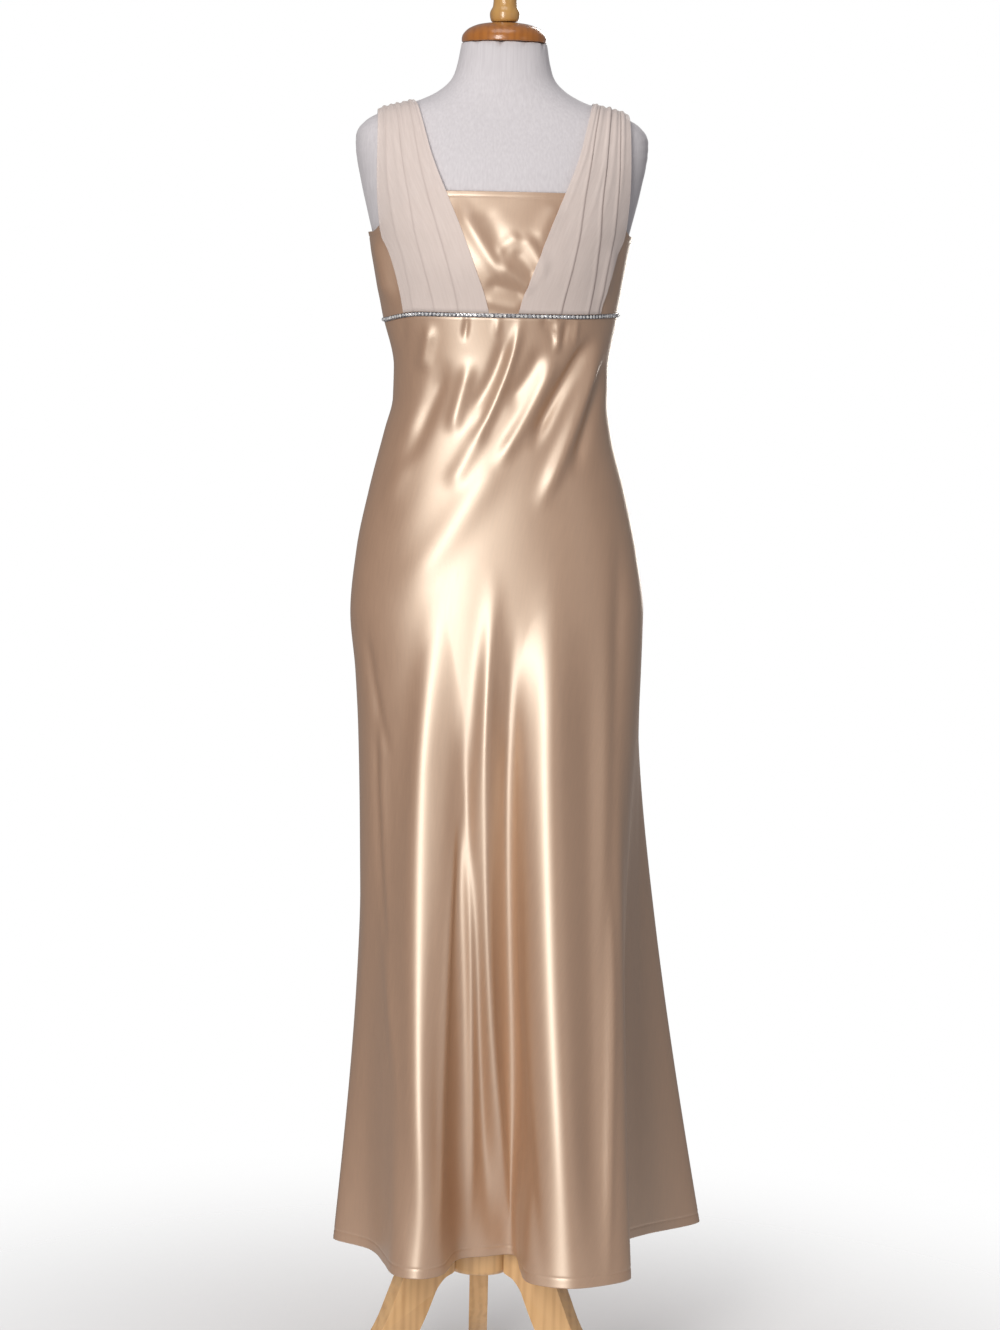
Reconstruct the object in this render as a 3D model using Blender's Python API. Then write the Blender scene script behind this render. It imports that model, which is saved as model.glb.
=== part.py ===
"""An empire-line satin evening gown on a limbless dress form and its wooden tripod stand.

Metres, +Z up, the gown's front towards -Y and +X on the viewer's right. While it is modelled the pole
stands on the Z axis; at the end everything is moved so that the origin lies on the floor under the middle
of its box.

Angles round the body are in degrees from the front, positive towards +X, so that -180 and 180 are the
centre back. Every cloth panel is a wall between a surface and the same surface moved in along its
normals, and panels that meet are cut from one surface, so their edges run together.
"""

import math

import bmesh
import bpy
import numpy as np
from mathutils import Matrix, Vector

# Heights of the gown and the form.
HEM = 0.2025
EMPIRE_SEAM = 1.369
UNDERARM = 1.4675
NECKLINE = 1.517
BACK_TOP = 1.452
ZIP_END = 1.05
FORM_BOTTOM = 0.860
FORM_TOP = 1.700
HUB_BOTTOM = 0.165
HUB_TOP = 0.222

# Cloth and the gaps between its pieces.
SATIN = 0.0012
CHIFFON = 0.0010
SEAM_GAP = 0.0003
STRAP_LIFT = 0.0007
TRIM_HEIGHT = 0.006
TRIM_THICK = 0.0022
ZIP_WIDTH = 0.010
ZIP_THICK = 0.0010

# The side seams, as angles on the body, and how round the plan of the body is: 2 is an ellipse.
LEFT_SEAM_ANGLE, RIGHT_SEAM_ANGLE = -88.0, 86.0
FORM_POWER = 2.2
FOLD_FALL = 1.4

# Outer face of the gown before its folds: height, reach to the left, to the right, to the front and to the
# back. Above the neckline it is the face that the straps lie on.
GOWN_SECTIONS = np.array(
    [
        (0.200, 0.1600, 0.186, 0.132, 0.145),
        (0.600, 0.1580, 0.186, 0.128, 0.140),
        (0.7025, 0.1600, 0.186, 0.125, 0.138),
        (0.8525, 0.1650, 0.187, 0.121, 0.136),
        (0.9275, 0.1700, 0.1875, 0.119, 0.135),
        (1.0025, 0.1775, 0.1875, 0.116, 0.134),
        (1.0775, 0.1710, 0.1775, 0.112, 0.124),
        (1.1525, 0.1560, 0.161, 0.107, 0.109),
        (1.2275, 0.1375, 0.141, 0.100, 0.094),
        (1.2650, 0.1285, 0.136, 0.098, 0.088),
        (1.3025, 0.1280, 0.136, 0.101, 0.086),
        (1.369, 0.1435, 0.1455, 0.1115, 0.088),
        (1.435, 0.1560, 0.156, 0.1275, 0.0915),
        (1.465, 0.1620, 0.162, 0.1255, 0.0935),
        (1.500, 0.1715, 0.1715, 0.1155, 0.0965),
        (1.544, 0.1810, 0.181, 0.1020, 0.0985),
        (1.567, 0.1850, 0.185, 0.0915, 0.0965),
        (1.588, 0.1860, 0.186, 0.0795, 0.0905),
        (1.606, 0.1715, 0.1715, 0.0685, 0.0825),
        (1.6165, 0.1515, 0.1515, 0.0625, 0.0775),
        (1.627, 0.1135, 0.1135, 0.0585, 0.0725),
        (1.637, 0.0895, 0.0895, 0.0555, 0.0685),
        (1.652, 0.0700, 0.0700, 0.0525, 0.0635),
        (1.700, 0.0570, 0.0570, 0.0515, 0.0585),
    ]
)

# Dress form under the gown: height, half width, depth in front of the pole, depth behind it.
TORSO_SECTIONS = np.array(
    [
        (0.860, 0.1560, 0.094, 0.110),
        (0.930, 0.1620, 0.099, 0.119),
        (1.000, 0.1660, 0.103, 0.125),
        (1.080, 0.1600, 0.102, 0.117),
        (1.180, 0.1340, 0.094, 0.093),
        (1.270, 0.1170, 0.087, 0.079),
        (1.340, 0.1285, 0.098, 0.079),
        (1.370, 0.1380, 0.106, 0.082),
        (1.435, 0.1510, 0.122, 0.086),
        (1.465, 0.1570, 0.120, 0.088),
        (1.500, 0.1670, 0.110, 0.091),
    ]
)
NECK_SECTIONS = np.array([(1.6625, 0.0595, 0.047, 0.055), (1.700, 0.0525, 0.047, 0.053)])

# The shoulders carry the straps, so they follow the gown's face: the gown's row, then how far the form lies
# in from it at the sides, in front and behind, and the share of SHOULDER_DROP by which it lies lower, to seat
# the straps.
SHOULDER_DROP = 0.0017
SHOULDER_INSETS = np.array(
    [
        (1.5440, 0.0040, 0.0045, 0.0045, 0.0),
        (1.5670, 0.0040, 0.0040, 0.0040, 0.4),
        (1.5880, 0.0040, 0.0030, 0.0030, 1.0),
        (1.6060, 0.0020, 0.0018, 0.0018, 1.0),
        (1.6165, 0.0015, 0.0014, 0.0014, 1.0),
        (1.6270, 0.0013, 0.0012, 0.0012, 1.0),
        (1.6370, 0.0020, 0.0015, 0.0015, 1.0),
        (1.6520, 0.0025, 0.0030, 0.0040, 1.0),
    ]
)


def shoulder_sections():
    """The form's shoulder rows: the gown's row at each height, drawn in and lowered by SHOULDER_INSETS."""
    rows = GOWN_SECTIONS[np.isin(GOWN_SECTIONS[:, 0], SHOULDER_INSETS[:, 0])]
    height, side, front, back, lowered = SHOULDER_INSETS.T
    drawn_in = rows[:, 2] - side, rows[:, 3] - front, rows[:, 4] - back
    return np.column_stack([height - SHOULDER_DROP * lowered, *drawn_in])


FORM_SECTIONS = np.vstack([TORSO_SECTIONS, shoulder_sections(), NECK_SECTIONS])

# The folds, round the hem from the centre back over the left side: the angle on the body that a fold hangs
# from, where it reaches at the hem (to the right of the pole and in front of it), and the height where it
# starts.
HEM_FOLDS = np.array(
    [
        (-180.0, 0.0000, -0.2380, 0.92),
        (-164.0, -0.0520, -0.1900, 0.88),
        (-148.0, -0.1080, -0.2280, 0.95),
        (-132.0, -0.1270, -0.1620, 0.90),
        (-116.0, -0.1690, -0.1180, 0.90),
        (-103.0, -0.1560, -0.0560, 0.80),
        (LEFT_SEAM_ANGLE, -0.1850, -0.0030, 0.60),
        (-72.0, -0.1400, 0.0480, 0.70),
        (-58.0, -0.1240, 0.1120, 0.88),
        (-44.0, -0.1130, 0.1640, 0.95),
        (-31.0, -0.0840, 0.1830, 1.00),
        (-21.0, -0.0520, 0.1600, 0.92),
        (-12.0, -0.0310, 0.0940, 0.82),
        (-2.0, 0.0060, 0.0780, 0.82),
        (7.0, 0.0400, 0.0700, 0.86),
        (13.0, 0.0440, 0.1400, 0.95),
        (20.0, 0.0520, 0.1980, 1.00),
        (30.0, 0.0950, 0.2210, 1.02),
        (44.0, 0.1420, 0.2060, 1.02),
        (60.0, 0.1770, 0.1720, 1.02),
        (71.0, 0.1650, 0.1100, 1.02),
        (RIGHT_SEAM_ANGLE, 0.1500, 0.0450, 1.00),
        (97.0, 0.2080, -0.0260, 1.02),
        (109.0, 0.2900, -0.0960, 1.04),
        (121.0, 0.2480, -0.1460, 1.02),
        (135.0, 0.1620, -0.1640, 0.95),
        (150.0, 0.1150, -0.2320, 0.95),
        (165.0, 0.0500, -0.1930, 0.88),
    ]
)
LEFT_SEAM_ROW = int(np.flatnonzero(HEM_FOLDS[:, 0] == LEFT_SEAM_ANGLE)[0])
RIGHT_SEAM_ROW = int(np.flatnonzero(HEM_FOLDS[:, 0] == RIGHT_SEAM_ANGLE)[0])
LAST_ROW = len(HEM_FOLDS)

# A strap, from the empire seam over the shoulder to the back: the angle up from the level of its pivot, then
# how far its inner and outer edges lie from the middle of the body, and how deep its gathers are.
STRAP_PIVOT = 1.45
STRAP_EDGES = np.array(
    [
        (-34.0, 0.0180, 0.1240, 0.0000),
        (-7.0, 0.0390, 0.1425, 0.0002),
        (12.0, 0.0540, 0.1540, 0.0004),
        (32.0, 0.0710, 0.1565, 0.0008),
        (58.0, 0.0930, 0.1570, 0.0016),
        (90.0, 0.1100, 0.1550, 0.0026),
        (125.0, 0.1080, 0.1510, 0.0016),
        (150.0, 0.1000, 0.1450, 0.0006),
        (182.0, 0.0840, 0.1360, 0.0000),
    ]
)
STRAP_GATHERS = 4
STRAP_BACK_OVERLAP = 0.012
# The rows along a strap crowd by this share of its length on the shoulder, where it bends most.
STRAP_CROWDING, STRAP_CROWDED_AT = 0.06, 0.08

# A leg's middle line from the hub to the floor: distance from the pole, height, width across.
LEG_LINE = np.array(
    [
        (0.0423, 0.1900, 0.040),
        (0.0650, 0.1840, 0.046),
        (0.0870, 0.1670, 0.052),
        (0.1010, 0.1380, 0.052),
        (0.1160, 0.1070, 0.050),
        (0.1420, 0.0730, 0.044),
        (0.1850, 0.0390, 0.037),
        (0.2350, 0.0170, 0.032),
        (0.2800, 0.0120, 0.026),
    ]
)
LEG_THICK = 0.024
LEG_ANGLES = {"leg_front_left": -63.0, "leg_front_right": 57.0, "leg_back": 177.0}

# Turned pieces: distance from the axis and height, from the top down.
CAP_PROFILE = (
    (0.0, 1.7250),
    (0.020, 1.7246),
    (0.034, 1.7222),
    (0.045, 1.7172),
    (0.0512, 1.7105),
    (0.0525, 1.7060),
    (0.0525, 1.7015),
    (0.0515, 1.7003),
    (0.0, 1.7003),
)
FINIAL_PROFILE = (
    (0.0, 1.8000),
    (0.0065, 1.7992),
    (0.0115, 1.7962),
    (0.0138, 1.7915),
    (0.0142, 1.7860),
    (0.0142, 1.7450),
    (0.0160, 1.7425),
    (0.0185, 1.7380),
    (0.0188, 1.7335),
    (0.0178, 1.7285),
    (0.0160, 1.7253),
    (0.0, 1.7253),
)
HUB_PROFILE = (
    (0.0, HUB_TOP),
    (0.022, HUB_TOP),
    (0.030, HUB_TOP - 0.003),
    (0.037, HUB_TOP - 0.009),
    (0.042, HUB_TOP - 0.013),
    (0.042, HUB_BOTTOM + 0.008),
    (0.038, HUB_BOTTOM + 0.002),
    (0.031, HUB_BOTTOM),
    (0.0, HUB_BOTTOM),
)
POLE_RADIUS = 0.0135

# The slider of the zip and its pull: the plate lies on the zip, the pull's barrel turns between the two ears.
SLIDER_HEIGHT = 1.4360
SLIDER_PLATE = (0.0080, 0.0018, 0.0120)
EAR_THICK, EAR_REACH, EAR_LENGTH = 0.0012, 0.0050, 0.0050
EAR_SPACING = 0.0042
EAR_DOWN = 0.0010
BARREL_OUT = 0.0026
BARREL_RADIUS, BARREL_LENGTH = 0.0010, 0.0024
TAB_WIDTH, TAB_THICK, TAB_LENGTH = 0.0056, 0.0010, 0.0240
STEM_LENGTH, STEM_IN_TAB, STEM_SHOULDER = 0.0055, 0.0005, 0.0002


def smooth_column(rows, column, where):
    """One column of a table read between its rows, with no overshoot. The first column runs upwards."""
    x, y = rows[:, 0], rows[:, column]
    step, slope = np.diff(x), np.diff(y) / np.diff(x)
    tangent = np.empty_like(y)
    tangent[0], tangent[-1] = slope[0], slope[-1]
    same = slope[:-1] * slope[1:] > 0
    before, after = 2 * step[1:] + step[:-1], step[1:] + 2 * step[:-1]
    safe = np.where(same, slope[:-1], 1.0), np.where(same, slope[1:], 1.0)
    mean = (before + after) / (before / safe[0] + after / safe[1])
    tangent[1:-1] = np.where(same, mean, 0.0)
    at = np.clip(np.searchsorted(x, where) - 1, 0, len(x) - 2)
    t = np.clip((where - x[at]) / step[at], -0.2, 1.2)
    rest = 1 - t
    ends = (1 + 2 * t) * rest**2 * y[at] + t**2 * (3 - 2 * t) * y[at + 1]
    return ends + step[at] * t * rest * (rest * tangent[at] - t * tangent[at + 1])


def plan_radius(angle, left, right, front, back):
    """How far a body section reaches at an angle, from its reach to the four sides."""
    side = np.where(np.sin(angle) < 0, left, right)
    depth = np.where(np.cos(angle) > 0, front, back)
    sideways = np.abs(np.sin(angle) / side) ** FORM_POWER
    forward = np.abs(np.cos(angle) / depth) ** FORM_POWER
    return (sideways + forward) ** (-1 / FORM_POWER)


def form_point(degrees, z):
    angle = np.radians(degrees)
    half, front, back = (smooth_column(FORM_SECTIONS, i, z) for i in (1, 2, 3))
    radius = plan_radius(angle, half, half, front, back)
    return np.stack([radius * np.sin(angle), -radius * np.cos(angle), z], -1)


def gown_radius(angle, z):
    return plan_radius(angle, *(smooth_column(GOWN_SECTIONS, i, z) for i in (1, 2, 3, 4)))


def gown_point(degrees, z):
    angle = np.radians(degrees)
    radius = gown_radius(angle, z)
    return np.stack([radius * np.sin(angle), -radius * np.cos(angle), z], -1)


def fold_values(row):
    """The columns of HEM_FOLDS between its rows, as a closed curve: row 0 and the last are the centre back."""
    turn = np.array([360.0, 0.0, 0.0, 0.0])
    rows = np.vstack([HEM_FOLDS[-2:] - turn, HEM_FOLDS, HEM_FOLDS[:3] + turn])
    at = np.clip(np.floor(row).astype(int), -1, LAST_ROW)
    t = (row - at)[..., None]
    a, b, c, d = (rows[at + i] for i in (1, 2, 3, 4))
    curve = 2 * b + (c - a) * t + (2 * a - 5 * b + 4 * c - d) * t**2 + (3 * b - 3 * c + d - a) * t**3
    return np.moveaxis(curve / 2, -1, 0)


def ease(t):
    t = np.clip(t, 0, 1)
    return t * t * (3 - 2 * t)


def empire_height(degrees):
    """The empire seam: level, but for its left end, which dips, and its right end, which rises a little."""
    turned = (degrees + 180) % 360 - 180
    dip = 0.008 * ease((-turned - 48) / 36) * ease((turned + 140) / 40)
    rise = 0.003 * ease((turned - 40) / 45) * ease((150 - turned) / 45)
    return EMPIRE_SEAM - dip + rise


def top_height(degrees):
    """The top edge of the bodice: straight in front, falling to the underarms and a little lower behind."""
    turned = np.abs((degrees + 180) % 360 - 180)
    front = NECKLINE - (NECKLINE - UNDERARM) * ease((turned - 42) / 36)
    return front - (UNDERARM - BACK_TOP) * ease((turned - 95) / 60)


def skirt(row, share):
    """The skirt's outer face: row runs round HEM_FOLDS, share runs from 0 at the hem to 1 at the empire seam."""
    degrees, hem_x, hem_forward, start = fold_values(row)
    z = HEM + (empire_height(degrees) - HEM) * share
    fall = (np.clip(start - z, 0, None) / (start - HEM)) ** FOLD_FALL
    hanging = np.stack([hem_x, -hem_forward, z], -1)
    return gown_point(degrees, z) * (1 - fall)[..., None] + hanging * fall[..., None]


def bodice(row, share):
    """The bodice's outer face: share runs from 0 at the empire seam to 1 at the top edge."""
    degrees = fold_values(row)[0]
    bottom, top = empire_height(degrees), top_height(degrees)
    return gown_point(degrees, bottom + (top - bottom) * share)


def empire_band(row, up):
    """The gown's outer face on both sides of the empire seam, up metres above it."""
    degrees = fold_values(row)[0]
    return gown_point(degrees, empire_height(degrees) + up)


def back_strip(across, z):
    """The gown's outer face beside the centre back, across metres to the left of it."""
    depth = smooth_column(GOWN_SECTIONS, 4, z)
    return gown_point(180 + np.degrees(across / depth), z)


def surface_along(x, elevation):
    """Where the line that rises at an angle from the strap's pivot, at a given x, leaves the gown's face."""
    near, far = np.zeros_like(x), np.full_like(x, 0.3)
    for _ in range(40):
        reach = (near + far) / 2
        y, z = -reach * np.cos(elevation), STRAP_PIVOT + reach * np.sin(elevation)
        inside = np.hypot(x, y) < gown_radius(np.arctan2(x, -y), z)
        near, far = np.where(inside, reach, near), np.where(inside, far, reach)
    return np.stack([x, y, z], -1)


def strap_x(across, elevation):
    degrees = np.degrees(elevation)
    inner, outer = (smooth_column(STRAP_EDGES, i, degrees) for i in (1, 2))
    return inner + (outer - inner) * across


def gown_depth(x, z, column):
    """How far in front of the pole, or behind it, the gown's face lies at a given x."""
    side = smooth_column(GOWN_SECTIONS, np.where(np.mean(x) < 0, 1, 2), z)
    share = np.clip(1 - np.abs(x / side) ** FORM_POWER, 0.01, None)
    return smooth_column(GOWN_SECTIONS, column, z) * share ** (1 / FORM_POWER)


def strap_front_end(across, side):
    """The angle at the pivot where a strap meets the trim on the empire seam."""
    elevation = np.radians(STRAP_EDGES[0, 0]) + 0 * across
    depth = np.full_like(across, 0.11)
    for _ in range(8):
        x = side * strap_x(across, elevation)
        bottom = empire_height(np.degrees(np.arctan2(x, depth))) + TRIM_HEIGHT / 2 + SEAM_GAP
        depth = gown_depth(x, bottom, 3)
        elevation = np.arctan2(bottom - STRAP_PIVOT, depth)
    return elevation


def strap_back_end(across, side):
    """The angle at the pivot where a strap ends, a little below the top edge of the back."""
    end = BACK_TOP - STRAP_BACK_OVERLAP
    elevation = np.radians(STRAP_EDGES[-1, 0]) + 0 * across
    for _ in range(8):
        depth = gown_depth(side * strap_x(across, elevation), end, 4)
        elevation = np.pi - np.arctan2(end - STRAP_PIVOT, depth)
    return elevation


def strap(across, along, side):
    """A strap's lower face: across runs 0 to 1 from its inner edge, along 0 to 1 over the shoulder."""
    start, end = strap_front_end(across, side), strap_back_end(across, side)
    elevation = start + (end - start) * along
    return surface_along(side * strap_x(across, elevation), elevation)


def strap_gather(across, along):
    """How far the gathers lift a strap off what it lies on."""
    first, last = STRAP_EDGES[0, 0], STRAP_EDGES[-1, 0]
    depth = smooth_column(STRAP_EDGES, 3, first + (last - first) * along)
    return depth * (0.5 - 0.5 * np.cos(2 * np.pi * STRAP_GATHERS * across))


def normals_of(surface, u, v, step_u=1e-3, step_v=1e-3):
    along = surface(u + step_u, v) - surface(u - step_u, v)
    up = surface(u, v + step_v) - surface(u, v - step_v)
    normal = np.cross(along, up)
    return normal / np.linalg.norm(normal, axis=-1, keepdims=True)


def pull_in(points, gap):
    """Draws the four edges of a grid in along its own rows and columns, which opens the seams."""
    for first, second in ((0, 1), (-1, -2)):
        step = points[second] - points[first]
        points[first] += gap * step / np.linalg.norm(step, axis=-1, keepdims=True)
        step = points[:, second] - points[:, first]
        points[:, first] += gap * step / np.linalg.norm(step, axis=-1, keepdims=True)
    return points


def new_object(name, mesh, material):
    mesh.materials.append(material)
    part = bpy.data.objects.new(name, mesh)
    bpy.context.scene.collection.objects.link(part)
    return part


def wall(name, outer, inner, material):
    """A closed solid between two grids of points of the same size.

    Both grids are split along the same diagonals. Where cloth twists, two different diagonals lie further apart
    than the cloth is thick, so its two faces would pass through each other.
    """
    columns, rows = outer.shape[:2]
    index = np.arange(columns * rows).reshape(columns, rows)
    a, b, c, d = index[:-1, :-1], index[1:, :-1], index[1:, 1:], index[:-1, 1:]
    halves = np.concatenate([np.stack(corners, -1).reshape(-1, 3) for corners in ((a, b, c), (a, c, d))])
    faces = halves.tolist() + (halves[:, ::-1] + columns * rows).tolist()
    rim = np.concatenate([index[:, 0], index[-1, 1:], index[-2::-1, -1], index[0, -2:0:-1]])
    under = rim + columns * rows
    faces.extend(np.stack([rim, under, np.roll(under, -1), np.roll(rim, -1)], -1).tolist())
    mesh = bpy.data.meshes.new(name)
    mesh.from_pydata(np.concatenate([outer.reshape(-1, 3), inner.reshape(-1, 3)]).tolist(), [], faces)
    mesh.shade_smooth()
    mesh.set_sharp_from_angle(angle=math.radians(50))
    return new_object(name, mesh, material)


def cloth_panel(name, surface, u, v, thickness, material):
    """A panel cut from a surface: its outer face lies on the surface, its inner face under it."""
    u, v = np.meshgrid(u, v, indexing="ij")
    outward = normals_of(surface, u, v)
    outer = pull_in(surface(u, v), SEAM_GAP / 2)
    return wall(name, outer, outer - thickness * outward, material)


def raised_panel(name, surface, u, v, lift, thickness, material, mirrored=False):
    """A panel that lies on a surface, lifted off it by a distance or by a grid of distances."""
    u, v = np.meshgrid(u, v, indexing="ij")
    outward = normals_of(surface, u, v) * (-1 if mirrored else 1)
    lower = surface(u, v) + outward * np.asarray(lift)[..., None]
    faces = (lower + thickness * outward, lower)
    return wall(name, *(faces[::-1] if mirrored else faces), material)


def turned_piece(name, profile, material, steps=40):
    """A piece turned round the Z axis by a Screw, from a profile that runs down its outer side."""
    mesh = bpy.data.meshes.new(name)
    points = [(radius, 0.0, height) for radius, height in profile]
    mesh.from_pydata(points, [(i, i + 1) for i in range(len(points) - 1)], [])
    part = new_object(name, mesh, material)
    screw = part.modifiers.new("Turn", "SCREW")
    screw.steps = screw.render_steps = steps
    screw.use_merge_vertices = True
    screw.merge_threshold = 0.00001
    screw.use_smooth_shade = True
    return part


def torso(material):
    """The form as rings joined up, closed flat at the bottom and at the neck."""
    heights = np.concatenate([np.linspace(FORM_BOTTOM, 1.54, 17), np.linspace(1.56, 1.66, 11), [1.68, FORM_TOP]])
    degrees = np.arange(0, 360, 9.0)
    rings = form_point(degrees[None, :], heights[:, None] + 0 * degrees[None, :])
    count = len(degrees)
    index = np.arange(rings.shape[0] * count).reshape(-1, count)
    after = np.roll(index, -1, axis=1)
    faces = np.stack([index[:-1], after[:-1], after[1:], index[1:]], -1).reshape(-1, 4).tolist()
    faces.append(index[0, ::-1].tolist())
    faces.append(index[-1].tolist())
    mesh = bpy.data.meshes.new("form_torso")
    mesh.from_pydata(rings.reshape(-1, 3).tolist(), [], faces)
    mesh.shade_smooth()
    mesh.set_sharp_from_angle(angle=math.radians(50))
    return new_object("form_torso", mesh, material)


def leg(name, degrees, material):
    """A curved board: the outline follows LEG_LINE at half its width each side and stands flat on the floor."""
    share = np.linspace(0, len(LEG_LINE) - 1, 25)
    line = np.column_stack([np.arange(len(LEG_LINE)), LEG_LINE])
    reach, height, width = (smooth_column(line, i, share) for i in (1, 2, 3))
    slope = np.stack([np.gradient(reach), np.gradient(height)], -1)
    slope[0] = (1, 0)
    slope /= np.linalg.norm(slope, axis=-1, keepdims=True)
    across = np.stack([-slope[:, 1], slope[:, 0]], -1) * width[:, None] / 2
    middle = np.stack([reach, height], -1)
    outline = np.concatenate([middle + across, (middle - across)[::-1]])
    outline[:, 1] = np.maximum(outline[:, 1], 0)
    shape = bmesh.new()
    corners = [shape.verts.new((r, -LEG_THICK / 2, z)) for r, z in outline]
    board = shape.faces.new(corners)
    made = bmesh.ops.extrude_face_region(shape, geom=[board])["geom"]
    moved = [v for v in made if isinstance(v, bmesh.types.BMVert)]
    bmesh.ops.translate(shape, vec=(0, LEG_THICK, 0), verts=moved)
    bmesh.ops.recalc_face_normals(shape, faces=shape.faces)
    mesh = bpy.data.meshes.new(name)
    shape.to_mesh(mesh)
    shape.free()
    part = new_object(name, mesh, material)
    part.rotation_euler.z = math.radians(degrees - 90)
    return part


def box(name, size, centre):
    shape = bmesh.new()
    bmesh.ops.create_cube(shape, size=1, matrix=Matrix.Translation(centre) @ Matrix.Diagonal((*size, 1)))
    mesh = bpy.data.meshes.new(name)
    shape.to_mesh(mesh)
    shape.free()
    part = bpy.data.objects.new(name, mesh)
    bpy.context.scene.collection.objects.link(part)
    return part


def join_to(part, other, operation="UNION"):
    """Joins a hidden helper to a part with a Boolean."""
    join = part.modifiers.new(other.name, "BOOLEAN")
    join.operation = operation
    join.object = other
    other.hide_render = True
    other.display_type = "WIRE"


def zip_frame():
    """The place of the slider: on the zip, its Y axis out of the back and its X axis along the pull's hinge."""
    x, z = np.array(0.0), np.array(SLIDER_HEIGHT)
    point = back_strip(x, z)
    outward = normals_of(back_strip, x, z, 1e-4, 1e-4)
    out = Vector(outward.tolist())
    up = Vector((1, 0, 0)).cross(out)
    lift = STRAP_LIFT + ZIP_THICK + SEAM_GAP
    turn = Matrix((Vector((1, 0, 0)), out, up)).transposed().to_4x4()
    return Matrix.Translation(Vector(point.tolist()) + out * lift) @ turn


def zip_slider(place, material):
    width, thick, length = SLIDER_PLATE
    plate = box("zip_slider", SLIDER_PLATE, (0, thick / 2, 0))
    plate.data.materials.append(material)
    plate.matrix_world = place
    for side in (-1, 1):
        size = (EAR_THICK, EAR_REACH, EAR_LENGTH)
        centre = (side * EAR_SPACING / 2, EAR_REACH / 2 + thick / 2, length / 2 - EAR_LENGTH / 2 - EAR_DOWN)
        ear = box(f"ear_{side}", size, centre)
        ear.matrix_world = place
        join_to(plate, ear)
    return plate


def zip_pull(place, material):
    """The pull's tab hangs straight down from its barrel, whose axis is the object's own X axis."""
    height = SLIDER_PLATE[2] / 2 - EAR_LENGTH / 2 - EAR_DOWN
    axis = place @ Vector((0, SLIDER_PLATE[1] + BARREL_OUT, height))
    shape = bmesh.new()
    turn = Matrix.Rotation(math.radians(90), 4, "Y")
    bmesh.ops.create_cone(
        shape,
        cap_ends=True,
        segments=16,
        radius1=BARREL_RADIUS,
        radius2=BARREL_RADIUS,
        depth=BARREL_LENGTH,
        matrix=turn,
    )
    mesh = bpy.data.meshes.new("zip_pull")
    shape.to_mesh(mesh)
    shape.free()
    pull = new_object("zip_pull", mesh, material)
    pull.location = axis
    stem_size = (BARREL_LENGTH - 2 * STEM_SHOULDER, TAB_THICK, STEM_LENGTH)
    stem = box("pull_stem", stem_size, (0, 0, -STEM_LENGTH / 2))
    tab_middle = STEM_IN_TAB - STEM_LENGTH - TAB_LENGTH / 2
    tab = box("pull_tab", (TAB_WIDTH, TAB_THICK, TAB_LENGTH), (0, 0, tab_middle))
    for helper in (stem, tab):
        helper.location = axis
        join_to(pull, helper)
    return pull


def painted(name, colour, roughness, metallic=0.0):
    material = bpy.data.materials.new(name)
    material.use_nodes = True
    shader = material.node_tree.nodes["Principled BSDF"]
    shader.inputs["Base Color"].default_value = (*colour, 1)
    shader.inputs["Roughness"].default_value = roughness
    shader.inputs["Metallic"].default_value = metallic
    return material


def columns_between(first, last, per_row=2):
    return np.linspace(first, last, int(round((last - first) * per_row)) + 1)


def stand_on_floor():
    """Moves everything, so that the origin lies under the middle of the whole object's box."""
    bpy.context.view_layer.update()
    graph = bpy.context.evaluated_depsgraph_get()
    parts = [part for part in bpy.context.scene.objects if part.type == "MESH" and not part.hide_render]
    corners = []
    for part in parts:
        mesh = part.evaluated_get(graph).to_mesh()
        points = np.empty(len(mesh.vertices) * 3, np.float32)
        mesh.vertices.foreach_get("co", points)
        place = np.array(part.matrix_world)
        corners.append(points.reshape(-1, 3) @ place[:3, :3].T + place[:3, 3])
    corners = np.concatenate(corners)
    middle = (corners.min(axis=0) + corners.max(axis=0)) / 2
    centre = bpy.data.objects.new("floor_centre", None)
    bpy.context.scene.collection.objects.link(centre)
    for part in [part for part in bpy.context.scene.objects if part.type == "MESH"]:
        part.parent = centre
    centre.location = (-middle[0], -middle[1], 0)


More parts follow.
